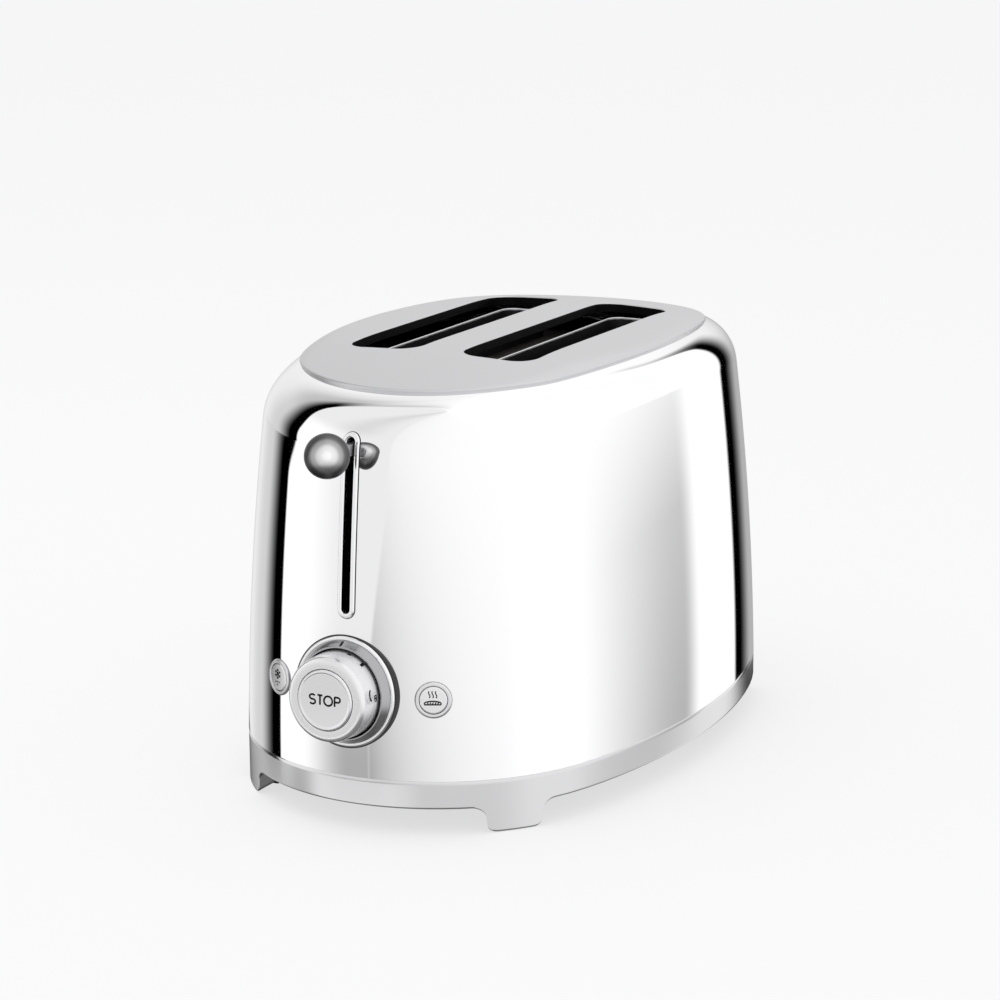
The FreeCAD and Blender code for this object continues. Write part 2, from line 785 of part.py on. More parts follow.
# Base plate with cooling slots, and the screws that hold it to the ledge
def base_vents(sk):
    count = int(size("vent_count"))
    for x in (("vent_inner", "vent_outer"), ("-vent_outer", "-vent_inner")):
        for i in range(count):
            y = "(%d - (vent_count - 1) / 2) * vent_pitch" % i
            rectangle(sk, x, (y + " - vent_width / 2", y + " + vent_width / 2"))


def base_holes(sk):
    for x, y in SCREW_SPOTS:
        circle(sk, "screw_hole", x, y)
    circle(sk, "gland_radius + gland_fit", "gland_x", "gland_y")


base_low = "foot_height + ledge_thickness"
piece("base_plate", slab("base", lambda sk: casing_oval(sk, "skirt_wall + base_gap"),
                         base_low, "base_top", base_vents, base_holes))


def screw(name, x, y):
    """A pan head under the ledge with its shank up through the base plate."""
    body = turned(name, [("0", "foot_height - screw_head"), ("screw_radius", "foot_height - screw_head"),
                         ("screw_radius", "foot_height"), ("screw_shank", "foot_height"),
                         ("screw_shank", "base_top"), ("0", "base_top")])
    return place(body, x, y)


piece("base_screws", group("screws", *[screw("screw_%d" % i, x, y)
                                       for i, (x, y) in enumerate(SCREW_SPOTS)]))

# Crumb tray, which slides out at the back and ends in a lip flush with the skirt
tray_block = block("tray_block", ("-tray_half_width", "tray_half_width"),
                   ("-tray_front", "half_length"), ("tray_floor", "tray_top"))
tray_plan = slab("tray_plan", lambda sk: casing_oval(sk, "tray_gap"), "tray_floor", "tray_top")
tray_pan = block("tray_pan", ("tray_sheet - tray_half_width", "tray_half_width - tray_sheet"),
                 ("tray_sheet - tray_front", "tray_lip_start"), ("tray_floor + tray_sheet", "tray_top + overrun"))
tray_scoop = block("tray_scoop", ("-scoop_half_width", "scoop_half_width"),
                   ("half_length - scoop_reach", "half_length + overrun"),
                   ("tray_floor + tray_sheet", "tray_top - tray_sheet"))
piece("crumb_tray", cut("tray", common("tray_cap", tray_block, tray_plan), tray_pan, tray_scoop))
rail_x = "tray_half_width + tray_play"
piece("tray_rails", group("rails", *[
    block("rail_" + name, sorted_x, ("-tray_front", "chamber_rear - sheet"), ("base_top", "base_top + rail_height"))
    for name, sorted_x in (("left", ("-(%s) - rail_width" % rail_x, "-(%s)" % rail_x)),
                           ("right", (rail_x, "%s + rail_width" % rail_x)))]))

# Toasting chamber: two end plates, two side shields and a deck under the top plate
GUIDES = [(slot, lean) for slot in (-1, 1) for lean in (-1, 1)]


def guide_x(slot, lean):
    return "%d * slot_centre + %d * guide_offset" % (slot, lean)


def chassis_end(name, y, tray_mouth):
    """An upright plate with a slot for each lifter and pivot holes for the bread guides."""
    plate = block(name, ("-chamber_half_width", "chamber_half_width"), y, ("base_top", "chamber_top"))
    deep = (y[0] + " - overrun", y[1] + " + overrun")
    tools = []
    for side in SIDES.values():
        middle = "%d * slot_centre" % side
        reach = "(lifter_blade / 2 + lifter_play)"
        tools.append(block(name + "_slot", (middle + " - " + reach, middle + " + " + reach), deep,
                           ("lifter_top - lifter_depth - travel - lifter_play", "lifter_top + lifter_play")))
    for slot, lean in GUIDES:
        tools.append(rod(name + "_pivot", "guide_pin + running_fit", "sheet + 2 * overrun",
                         guide_x(slot, lean), deep[0], "guide_low", "y"))
    if tray_mouth:
        tools.append(block(name + "_mouth", ("-(%s)" % rail_x, rail_x), deep,
                           ("base_top", "tray_top + tray_play")))
    return cut(name + "_cut", plate, *tools)


piece("chassis_front", chassis_end("front_plate", ("-chamber_front", "sheet - chamber_front"), False))
piece("chassis_rear", chassis_end("rear_plate", ("chamber_rear - sheet", "chamber_rear"), True))
for name, x in (("left", ("-chamber_half_width", "sheet - chamber_half_width")),
                ("right", ("chamber_half_width - sheet", "chamber_half_width"))):
    piece("heat_shield_" + name, block("shield_" + name, x, ("sheet - chamber_front", "chamber_rear - sheet"),
                                       ("rail_height + base_top", "chamber_top")))


def liner_outline(sk, side, grow="0"):
    x = "%d * slot_centre" % side
    rounded(sk, ("%s - liner_half_width - (%s)" % (x, grow), "%s + liner_half_width + (%s)" % (x, grow)),
            ("slot_middle - liner_half_length - (%s)" % grow, "slot_middle + liner_half_length + (%s)" % grow),
            "liner_corner + (%s)" % grow)


deck = doc.addObject("PartDesign::Body", "deck")
deck_sketch = sketch(deck, "deck_outline", "XY_Plane", "chamber_top")
polygon(deck_sketch, [("-tongue_half_width", "-tongue_reach"), ("tongue_half_width", "-tongue_reach"),
                      ("tongue_half_width", "-chamber_front"), ("chamber_half_width", "-chamber_front"),
                      ("chamber_half_width", "chamber_rear"), ("-chamber_half_width", "chamber_rear"),
                      ("-chamber_half_width", "-chamber_front"), ("-tongue_half_width", "-chamber_front")])
for side in SIDES.values():
    liner_outline(deck_sketch, side)
pad(deck, deck_sketch, "sheet")
piece("chassis_top", deck)
for name, side in SIDES.items():
    piece("slot_liner_" + name, slab("liner_" + name, lambda sk, s=side: liner_outline(sk, s, "liner_wall"),
                                     "chamber_top + sheet", "liner_top",
                                     lambda sk, s=side: liner_outline(sk, s)))

# Heaters: a mica board on each side of each slot, wound with flat ribbon on the bread side
strips = []
for number, (slot, lean) in enumerate(GUIDES, 1):
    face = "%d * slot_centre + %d * board_offset" % (slot, lean)
    back = "%s + %d * mica_thickness" % (face, lean)
    front = "%s - %d * ribbon_thickness" % (face, lean)
    x = (face, back) if lean > 0 else (back, face)
    piece("heater_board_%d" % number, block("mica_%d" % number, x, (
        "sheet - chamber_front", "chamber_rear - sheet"), ("board_low", "board_high")))
    x = (front, face) if lean > 0 else (face, front)
    for row in range(int(size("ribbon_count"))):
        pitch = "(board_high - board_low - 2 * ribbon_margin) / (ribbon_count - 1)"
        z = "board_low + ribbon_margin + %d * %s" % (row, pitch)
        strips.append(block("strip", x, ("ribbon_margin - chamber_front", "chamber_rear - ribbon_margin"),
                            (z + " - ribbon_width / 2", z + " + ribbon_width / 2")))
piece("heater_ribbons", group("ribbons", *strips))


# Bread guides: wire gates that pivot on their lowest wire and lean in to hold the slice
def bread_guide(name, slot, lean):
    x = guide_x(slot, lean)
    low = "sheet + guide_gap - chamber_front"
    length = "chamber_front + chamber_rear - 2 * sheet - 2 * guide_gap"
    wires = [rod(name + "_pin", "guide_pin", "chamber_front + chamber_rear + 2 * sheet", x,
                 "-chamber_front - sheet", "guide_low", "y"),
             rod(name + "_top", "guide_wire", length, x, low, "guide_high", "y")]
    for i in range(int(size("bar_count"))):
        y = "%s + guide_wire + %d * (%s - 2 * guide_wire) / (bar_count - 1)" % (low, i, length)
        wires.append(rod(name + "_bar", "bar_radius", "guide_high - guide_low", x, y, "guide_low"))
    return join(name, *wires)


for number, (slot, lean) in enumerate(GUIDES, 1):
    piece("bread_guide_%d" % number, bread_guide("gate_%d" % number, slot, lean))

# Lever carriage on its two rods, with the lever, the lifters and the magnet's keeper
rod_y = "-rod_centre_y"
piece("guide_rods", group("rods", *[
    rod("rod_" + name, "rod_radius", "chamber_top - base_top", "%d * rod_centre_x" % side, rod_y, "base_top")
    for name, side in SIDES.items()]))
carriage_front = "-carriage_y - carriage_sheet"
plate = block("carriage", ("-carriage_half_width", "carriage_half_width"),
              (carriage_front, "-carriage_y"), ("carriage_low", "carriage_high"))
bushes = []
bores = []
for name, side in SIDES.items():
    x = "%d * rod_centre_x" % side
    bushes.append(rod("bush_" + name, "bush_radius", "bush_height", x, rod_y, "bush_low"))
    bushes.append(block("web_" + name, (x + " - rod_radius", x + " + rod_radius"),
                        ("bush_radius / 2 - rod_centre_y", carriage_front),
                        ("bush_low", "bush_low + bush_height")))
    bores.append(rod("bore_" + name, "rod_radius + running_fit", "chamber_top", x, rod_y, "0"))
tab = block("spring_tab", ("spring_x - spring_radius", "spring_x + spring_radius"),
            ("%s - spring_radius" % rod_y, carriage_front), ("spring_foot - spring_tab", "spring_foot"))
piece("carriage_plate", cut("carriage_bored", join("carriage_raw", plate, tab, *bushes), *bores))
lever = block("lever_blade", ("-lever_half_width", "lever_half_width"), ("-collar_forward", carriage_front),
              ("lever_height - lever_half_height", "lever_height + lever_half_height"))
collar = rod("lever_collar_bar", "lever_collar", "collar_end - collar_forward", "0", "-collar_end",
             "lever_height", "y")
piece("lever_arm", join("lever", lever, collar))
ball = doc.addObject("Part::Sphere", "ball")
bind(ball, "Radius", "ball_radius")
place(ball, "0", "-ball_forward", "lever_height + ball_rise")
socket = rod("ball_socket", "lever_collar", "ball_radius", "0", "-collar_end", "lever_height", "y")
piece("lever_ball", cut("ball_done", ball, socket))
for name, side in SIDES.items():
    middle = "%d * slot_centre" % side
    blade = block("blade_" + name, (middle + " - lifter_blade / 2", middle + " + lifter_blade / 2"),
                  ("-carriage_y", "chamber_rear + lifter_tail"), ("lifter_top - lifter_depth", "lifter_top - lifter_tray"))
    shelf = block("shelf_" + name, (middle + " - lifter_half_width", middle + " + lifter_half_width"),
                  ("-lifter_front", "lifter_rear"), ("lifter_top - lifter_tray", "lifter_top"))
    piece("bread_lifter_" + name, join("lifter_" + name, blade, shelf))
magnet_y = "-rod_centre_y"
piece("keeper_plate", block("keeper", ("-magnet_x - magnet_half_x", "magnet_half_x - magnet_x"),
                            ("%s - magnet_half_y" % magnet_y, carriage_front),
                            ("carriage_low", "carriage_low + keeper_thickness")))

# Lift spring between the carriage tab and the deck's tongue
spring = doc.addObject("PartDesign::Body", "spring")
ring = sketch(spring, "spring_ring", "XY_Plane", "spring_foot")
circle(ring, "spring_radius")
circle(ring, "spring_radius - 2 * spring_wire")
pad(spring, ring, "chamber_top - spring_foot")
place(spring, "spring_x", rod_y)
piece("lift_spring", spring)

# Holding magnet on the base plate: bracket, three pole core and coil
core_low = "base_top + bracket_height"
piece("magnet_bracket", block("bracket", ("-magnet_x - magnet_half_x - bracket_edge", "magnet_half_x - magnet_x + bracket_edge"),
                              ("%s - magnet_half_y - bracket_edge" % magnet_y, "%s + magnet_half_y + bracket_edge" % magnet_y),
                              ("base_top", core_low)))
core = block("core", ("-magnet_x - magnet_half_x", "magnet_half_x - magnet_x"),
             ("%s - magnet_half_y" % magnet_y, "%s + magnet_half_y" % magnet_y), (core_low, "magnet_top"))
windows = [block("core_window", ("-magnet_x + " + low, "-magnet_x + " + high),
                 ("%s - magnet_half_y - overrun" % magnet_y, "%s + magnet_half_y + overrun" % magnet_y),
                 (core_low + " + magnet_base", "magnet_top + overrun"))
           for low, high in (("pole_thickness - magnet_half_x", "(-pole_half)"),
                             ("pole_half", "magnet_half_x - pole_thickness"))]
piece("magnet_core", cut("core_done", core, *windows))


def coil_rectangle(sk, reach_x, reach_y):
    rectangle(sk, ("-(%s)" % reach_x, reach_x), ("-(%s)" % reach_y, reach_y))


coil = slab("coil", lambda sk: coil_rectangle(sk, "magnet_half_x - pole_thickness - coil_gap",
                                              "magnet_half_y + coil_wall"),
            core_low + " + magnet_base", core_low + " + magnet_base + coil_height",
            lambda sk: coil_rectangle(sk, "pole_half + coil_gap / 2", "magnet_half_y + coil_gap / 2"))
place(coil, "-magnet_x", magnet_y)
piece("magnet_coil", coil)
piece("contact_block", block("contacts", ("-contact_half_x", "contact_half_x"),
                             ("-rod_centre_y - contact_half_y", "contact_half_y - rod_centre_y"),
                             ("base_top", "base_top + contact_height")))

# Browning dial: dished ring in the wall, hollow knob, stop button through its middle, rotary control
piece("dial_ring", at_knob(turned("dial", [
    ("hub_radius + ring_wall", "-ring_floor"), ("knob_radius + ring_wall", "-ring_floor"),
    ("ring_radius - ring_rim", "ring_proud"), ("ring_radius", "ring_proud"),
    ("ring_radius", "-ring_depth"), ("ring_radius - ring_wall", "-ring_depth"),
    ("ring_radius - ring_wall", "-ring_floor - ring_wall"), ("hub_radius + ring_wall", "-ring_floor - ring_wall")])))
stem_bore = "stop_stem + running_fit"
piece("browning_knob", at_knob(turned("knob", [
    (stem_bore, "knob_face - well_depth"), ("well_radius", "knob_face - well_depth"),
    ("well_radius", "knob_face"), ("knob_face_radius - knob_edge", "knob_face"),
    ("knob_face_radius - knob_edge / 4", "knob_face - knob_edge / 4"),
    ("knob_face_radius", "knob_face - knob_edge"), ("knob_radius", "-knob_back"),
    ("knob_radius - knob_wall", "-knob_back"), ("knob_radius - knob_wall", "knob_face - well_depth - knob_web"),
    ("hub_radius", "knob_face - well_depth - knob_web"), ("hub_radius", "-hub_reach"), (stem_bore, "-hub_reach")])))
key_top = "key_height - control_depth"
stop_top = "knob_face + stop_proud"
piece("stop_button", at_knob(turned("stop", [
    ("0", stop_top), ("stop_radius - stop_proud", stop_top), ("stop_radius", stop_top + " - stop_proud"),
    ("stop_radius", stop_top + " - stop_thickness"), ("stop_stem", stop_top + " - stop_thickness"),
    ("stop_stem", "%s + stop_travel + stop_gap" % key_top), ("0", "%s + stop_travel + stop_gap" % key_top)])))
piece("stop_switch", at_knob(turned("key", [
    ("0", "-control_depth"), ("key_radius", "-control_depth"), ("key_radius", key_top), ("0", key_top)])))
piece("dial_control", at_knob(turned("encoder", [
    ("hub_radius + running_fit", "-control_depth"), ("encoder_radius", "-control_depth"),
    ("encoder_radius", "encoder_depth - control_depth"), ("hub_radius + running_fit", "encoder_depth - control_depth")])))
piece("control_board", at_knob(slab("board", lambda sk: rectangle(
    sk, ("-board_half_width", "board_half_width"), ("-board_down", "board_up")), "-board_back", "-control_depth")))
stand_slab = at_knob(slab("stand", lambda sk: rectangle(
    sk, ("-stand_half_width", "stand_half_width"), ("-knob_height", "-board_down")),
    "-board_back - stand_thickness / 2", "stand_thickness / 2 - control_depth"))
stand_room = block("stand_room", ("-half_width", "half_width"), ("-half_length", "0"), ("base_top", "knob_height"))
piece("board_stand", common("stand_done", stand_slab, stand_room))

# Side buttons: a flanged barrel through the wall, the button and the switch behind it
for name, side in BUTTONS.items():
    piece(name + "_bezel", at_button(turned(name + "_barrel", [
        ("button_radius + button_fit", "-barrel_length"), ("button_radius + button_fit", "flange_proud"),
        ("flange_radius - flange_proud / 2", "flange_proud"), ("flange_radius", "flange_proud / 2"),
        ("flange_radius", "0"), ("barrel_outer", "0"), ("barrel_outer", "-barrel_length")]), side))
    piece(name + "_button", at_button(turned(name + "_cap", [
        ("0", "button_proud"), ("button_radius - button_fit", "button_proud"),
        ("button_radius", "button_proud - button_fit"), ("button_radius", "-button_skirt"),
        ("plunger_radius", "-button_skirt"), ("plunger_radius", "-plunger_reach"), ("0", "-plunger_reach")]), side))
    piece(name + "_switch", at_button(slab(name + "_body", lambda sk: rectangle(
        sk, ("-switch_half", "switch_half"), ("-switch_half", "switch_half")),
        "-barrel_length - switch_depth", "-barrel_length"), side))

# Mains side: terminal block, and the gland under the base where a lead would enter
piece("terminal_block", block("terminals", ("terminal_x - terminal_half_x", "terminal_x + terminal_half_x"),
                              ("terminal_y - terminal_half_y", "terminal_y + terminal_half_y"),
                              ("base_top", "base_top + terminal_height")))
gland = turned("gland", [
    ("gland_bore", base_low + " - gland_flange_depth"), ("gland_flange", base_low + " - gland_flange_depth"),
    ("gland_flange", base_low), ("gland_radius", base_low), ("gland_radius", base_low + " + gland_length"),
    ("gland_bore", base_low + " + gland_length")])
piece("cord_gland", place(gland, "gland_x", "gland_y"))


def write_parts():
    """Recompute, refuse anything that failed, and write one file for each piece."""
    doc.recompute()
    for obj in doc.Objects:
        if "Invalid" in obj.State or "Error" in obj.State:
            raise RuntimeError("failed: %s %s" % (obj.Name, obj.State))
    os.makedirs("parts", exist_ok=True)
    for obj in pieces:
        shape = obj.Shape
        if shape.isNull() or not shape.isValid() or not shape.Solids:
            raise RuntimeError("bad shape: " + obj.Label)
        shape.exportStep("parts/%s.step" % obj.Label)
        print("%-20s solids %2d volume %10.1f" % (obj.Label, len(shape.Solids), shape.Volume))


write_parts()
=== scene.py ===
# %% [markdown]
# # A two slot toaster, dressed piece by piece
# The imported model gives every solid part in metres, with its feet on z = 0. This lesson
# dresses it: each cell makes one piece or one finish, says what it is on the real object,
# and prints what it made. The casing is a mirror, so its curves have to be much finer than
# the solid's facets, and its surface is worked out from the same few arcs as the solid.

# %% Load the frame
import math

import bpy
import numpy as np
from mathutils import Matrix, Vector
from mathutils.geometry import delaunay_2d_cdt


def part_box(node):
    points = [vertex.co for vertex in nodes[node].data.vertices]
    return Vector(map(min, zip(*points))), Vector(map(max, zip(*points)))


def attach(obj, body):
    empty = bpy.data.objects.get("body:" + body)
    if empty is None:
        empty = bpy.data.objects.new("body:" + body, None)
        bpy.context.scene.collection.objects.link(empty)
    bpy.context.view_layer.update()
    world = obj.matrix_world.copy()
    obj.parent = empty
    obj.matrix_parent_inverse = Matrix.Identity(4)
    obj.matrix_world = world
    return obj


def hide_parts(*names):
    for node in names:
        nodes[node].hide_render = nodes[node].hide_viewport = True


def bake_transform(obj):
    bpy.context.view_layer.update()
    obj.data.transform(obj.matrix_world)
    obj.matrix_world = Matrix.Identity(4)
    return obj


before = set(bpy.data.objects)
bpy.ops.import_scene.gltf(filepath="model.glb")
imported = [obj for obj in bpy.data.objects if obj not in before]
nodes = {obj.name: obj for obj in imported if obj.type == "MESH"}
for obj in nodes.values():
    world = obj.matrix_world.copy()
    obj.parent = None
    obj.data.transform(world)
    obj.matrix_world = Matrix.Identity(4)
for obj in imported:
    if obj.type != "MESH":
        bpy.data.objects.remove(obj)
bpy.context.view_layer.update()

# %% [markdown]
# ## Units and the middle of the oval
# A toaster is easiest to describe in millimetres from the middle of its oval casing. The
# frame's origin is the middle of the whole object, lever ball included, so everything is
# moved along Y by the small difference, which is read from the casing's own box.

# %% Units
MM = 0.001
shell_low, shell_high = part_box("body_shell")
shift = (shell_low.y + shell_high.y) / 2 / MM


def to_metres(points):
    """Millimetres from the middle of the oval to metres in the frame."""
    out = np.array(points, float).reshape(-1, 3)
    out[:, 1] += shift
    return out * MM


print("the oval's middle is %.2f mm along Y" % shift)

# %% [markdown]
# ## A mesh from plain lists
# Every piece below ends in the same few steps: build the mesh, shade it smooth but for its
# real corners, set normals where the surface is known exactly, give it a finish, say which
# body it rides on and hide the solid that it stands for. One helper does all of that.

# %% The piece maker
materials = {}
same_way = 0.8  # cosine: an exact normal is used where the mesh's own is about the same


def new_object(name, data):
    """Put an object with this data into the scene."""
    obj = bpy.data.objects.new(name, data)
    bpy.context.scene.collection.objects.link(obj)
    return obj


def add_piece(name, points, faces, finish, body="housing", stands_for=(), slot=None,
              normals=None, corner=35.0):
    """Make a finished piece from points in millimetres. normals: one exact normal a point."""
    mesh = bpy.data.meshes.new(name)
    mesh.from_pydata(to_metres(points).tolist(), [], [list(map(int, f)) for f in faces])
    mesh.validate()
    mesh.polygons.foreach_set("use_smooth", [True] * len(mesh.polygons))
    mesh.set_sharp_from_angle(angle=math.radians(corner))
    if normals is not None:
        loop_points = np.zeros(len(mesh.loops), int)
        mesh.loops.foreach_get("vertex_index", loop_points)
        shown = np.zeros(len(mesh.loops) * 3)
        mesh.corner_normals.foreach_get("vector", shown)
        shown = shown.reshape(-1, 3)
        exact = np.array(normals, float)[loop_points]
        near = (exact * shown).sum(axis=1) > same_way
        shown[near] = exact[near]
        mesh.normals_split_custom_set(shown.tolist())
    mesh.materials.append(materials[finish])
    obj = new_object(name, mesh)
    if body:
        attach(obj, body)
    if stands_for:
        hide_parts(*stands_for)
    print("%-24s %6d faces, finish %s" % (obj.name, len(mesh.polygons), finish))
    return obj


def mark_points(obj, name, chosen):
    """An attribute that is 1 at the chosen points and 0 at the rest, for a finish to read."""
    values = np.zeros(len(obj.data.vertices))
    values[list(chosen)] = 1.0
    attribute = obj.data.attributes.new(name, "FLOAT", "POINT")
    attribute.data.foreach_set("value", values.astype(np.float32))


# %% [markdown]
# ## Finishes
# Most of this toaster is metal, so most finishes are one metallic shader with a different
# roughness and a different texture in its bump: a mirror has almost none, a satin plate has
# a fine grain, a casting is a little uneven. Each finish is a small node tree that reads
# Object coordinates, which are metres here, so a noise scale of 1000 gives a millimetre.

# %% Helpers for nodes
def fill(tree, node, inputs):
    """Set inputs, by name or number, to values or other nodes' outputs. A list joins several."""
    for key, value in inputs.items():
        for one in value if isinstance(value, list) else [value]:
            if isinstance(one, bpy.types.NodeSocket):
                tree.links.new(one, node.inputs[key])
            else:
                node.inputs[key].default_value = one


def step(tree, kind, inputs, out=0, **settings):
    """Add a node, fill its inputs and give back one of its outputs."""
    node = tree.nodes.new(kind if kind.startswith("Shader") else "GeometryNode" + kind)
    for key, value in settings.items():
        setattr(node, key, value)
    fill(tree, node, inputs)
    return node.outputs[out]


def mixed(tree, factor, first, second, kind="RGBA"):
    """Goes from first to second, two colours or two numbers, as factor goes from 0 to 1."""
    return step(tree, "ShaderNodeMix", {"Factor": factor, "A": first, "B": second}, "Result",
                data_type=kind)


def change(name, inputs):
    """Fill inputs of a finish's own shader."""
    tree = materials[name].node_tree
    fill(tree, tree.nodes["Principled BSDF"], inputs)


# %% A helper for finishes
def finish(name, colour, metallic, roughness, grain, depth=0.0, shade=0.0,
           stretch=(1, 1, 1), coat=0.0, swing=0.0):
    """A surface with a noise grain that moves its bump, its colour and its roughness a little."""
    material = materials[name] = bpy.data.materials.new(name)
    material.use_nodes = True
    tree = material.node_tree
    change(name, {"Base Color": (*colour, 1.0), "Metallic": metallic, "Roughness": roughness,
                  "Coat Weight": coat})
    place = step(tree, "ShaderNodeTexCoord", {}, "Object")
    place = step(tree, "ShaderNodeMapping", {"Vector": place, "Scale": stretch})
    noise = step(tree, "ShaderNodeTexNoise", {"Vector": place, "Scale": grain, "Detail": 4.0},
                 "Fac")
    if depth:
        change(name, {"Normal": step(tree, "ShaderNodeBump", {"Height": noise, "Strength": 1.0,
                                                              "Distance": depth})})
    if shade:
        dark, light = [(*[min(1.0, c * part) for c in colour], 1.0)
                       for part in (1 - shade, 1 + shade)]
        change(name, {"Base Color": mixed(tree, noise, dark, light)})
    if swing:
        change(name, {"Roughness": step(tree, "ShaderNodeMapRange", {
            "Value": noise, "To Min": roughness * (1 - swing), "To Max": roughness * (1 + swing)})})
    return material


# %% The finishes themselves
finish("mirror steel", (0.93, 0.93, 0.94), 1.0, 0.03, grain=60.0, depth=0.000002, swing=0.3)
finish("bright trim", (0.90, 0.90, 0.91), 1.0, 0.08, grain=400.0, shade=0.02, swing=0.3)
finish("satin plate", (0.66, 0.66, 0.67), 1.0, 0.42, grain=5000.0, depth=0.000004, shade=0.03)
finish("satin casting", (0.70, 0.70, 0.71), 1.0, 0.13, grain=2500.0, depth=0.000001, shade=0.03,
       swing=0.2)
finish("dial metal", (0.42, 0.42, 0.43), 1.0, 0.22, grain=700.0, shade=0.03, swing=0.3)
finish("button trim", (0.78, 0.78, 0.79), 1.0, 0.32, grain=400.0, shade=0.02, swing=0.2)
finish("silver plastic", (0.86, 0.86, 0.87), 0.9, 0.24, grain=9000.0, depth=0.000001, shade=0.02,
       coat=0.2)
finish("ball steel", (0.23, 0.23, 0.235), 1.0, 0.38, grain=700.0, swing=0.1)
finish("printed black", (0.012, 0.012, 0.013), 0.0, 0.45, grain=3000.0, shade=0.2)
finish("rolled steel", (0.42, 0.42, 0.43), 1.0, 0.38, grain=900.0, depth=0.00001, shade=0.10,
       stretch=(1, 12, 12))
finish("dark steel", (0.035, 0.035, 0.037), 0.6, 0.45, grain=700.0, depth=0.00001, shade=0.25)
finish("heat tinted steel", (0.10, 0.09, 0.085), 0.9, 0.40, grain=90.0, shade=0.35, swing=0.2)
finish("mica sheet", (0.30, 0.26, 0.20), 0.0, 0.40, grain=260.0, depth=0.00002, shade=0.30)
finish("heater ribbon", (0.34, 0.31, 0.29), 1.0, 0.35, grain=1500.0, shade=0.2)
finish("rubber", (0.02, 0.02, 0.02), 0.0, 0.75, grain=3500.0, depth=0.00004, shade=0.2)
# This finish is also the painted shade in the gaps round the lever slot rim and the dial's lip.
finish("black moulding", (0.018, 0.018, 0.018), 0.0, 0.5, grain=4000.0, depth=0.00002, shade=0.2)
finish("enamelled copper", (0.60, 0.22, 0.09), 1.0, 0.25, grain=2000.0, shade=0.15)
finish("lacquered board", (0.02, 0.14, 0.06), 0.0, 0.3, grain=350.0, shade=0.35, coat=0.3)
change("printed black", {"Specular IOR Level": 0.08})  # ink is matt


# %% Satin outside, painted shade inside
def paint_inner_shade(name, dark, rough):
    """Make a finish rough, and paint shade into its colour, wherever the piece marks its shaded
    inner side.
    """
    tree = materials[name].node_tree
    side = step(tree, "ShaderNodeAttribute", {}, "Fac", attribute_name="painted shade side")
    for key, kind, hidden in (("Base Color", "RGBA", (dark, dark, dark, 1.0)),
                              ("Roughness", "FLOAT", rough)):
        socket = tree.nodes["Principled BSDF"].inputs[key]
        outside = socket.links[0].from_socket if socket.is_linked else socket.default_value
        change(name, {key: mixed(tree, side, outside, hidden, kind)})


# Painted shade: the lip walls down inside the slots turn almost black, and the skirt's underside
# and inner faces a darker grey.
paint_inner_shade("satin plate", 0.012, 0.5)
paint_inner_shade("satin casting", 0.20, 0.5)


# %% The ball's finish: a painted reflection, dark towards its edge
def paint_ball_reflection(name, stops):
    """Colour a metal by how squarely it is seen, as a painted reflection: brightest straight on,
    dark towards the edge.
    """
    tree = materials[name].node_tree
    ramp = tree.nodes.new("ShaderNodeValToRGB")
    ramp.color_ramp.interpolation = "EASE"
    while len(ramp.color_ramp.elements) < len(stops):
        ramp.color_ramp.elements.new(0.5)
    for element, (at, grey) in zip(ramp.color_ramp.elements, stops):
        element.position = at
        element.color = (grey, grey, grey, 1.0)
    fill(tree, ramp, {0: step(tree, "ShaderNodeLayerWeight", {"Blend": 0.5}, "Facing")})
    change(name, {"Base Color": ramp.outputs[0]})


# Painted reflection: the ball is brightest in its middle and dark towards its rim, by the angle at
# which it is seen.
paint_ball_reflection("ball steel", [(0.0, 0.98), (0.05, 0.82), (0.20, 0.42), (0.42, 0.13), (0.65, 0.045),
                         (1.0, 0.08)])


# %% The liners' finish: black, with a painted highlight along the top edge
def paint_edge_highlight(name, base, edge, height, blend=0.0004, uneven=0.0006):
    """A dark finish that turns bright above a height, unevenly: a painted highlight along the top
    edge.
    """
    tree = finish(name, base, 0.7, 0.38, grain=1200.0, depth=0.00001, shade=0.2).node_tree
    place = step(tree, "ShaderNodeTexCoord", {}, "Object")
    high = step(tree, "ShaderNodeSeparateXYZ", {0: place}, "Z")
    noise = step(tree, "ShaderNodeTexNoise", {"Vector": place, "Scale": 300.0}, "Fac")
    high = step(tree, "ShaderNodeMath", {0: noise, 1: uneven, 2: high}, operation="MULTIPLY_ADD")
    rise = step(tree, "ShaderNodeMapRange", {"Value": high, "From Min": height,
                                             "From Max": height + blend})
    change(name, {"Base Color": mixed(tree, rise, (*base, 1.0), (*edge, 1.0))})


# Painted highlight: the liner's rolled top edge is coloured bright above this height.
paint_edge_highlight("slot liner", (0.03, 0.03, 0.032), (0.75, 0.75, 0.76), height=0.1866)
print(len(materials), "finishes")

# %% [markdown]
# ## The plan of the casing
# From above the casing is an oval. Four plain arcs would make it, but where a tight arc meets
# a flat one, a mirror shows a crease in every reflection. So the radius changes smoothly from
# the ends to the sides, and the outline is found by adding up short steps along it. A point is
# named by the direction that its wall faces: 0 is the lever end, 90 degrees the right side.

# %% The outline by its radius
half_width, half_length = 97.5, 154.0


def smooth_step(t):
    """Goes from 0 to 1 with no kink in its slope or its curvature."""
    t = np.clip(t, 0.0, 1.0)
    return t * t * t * (t * (6 * t - 15) + 10)


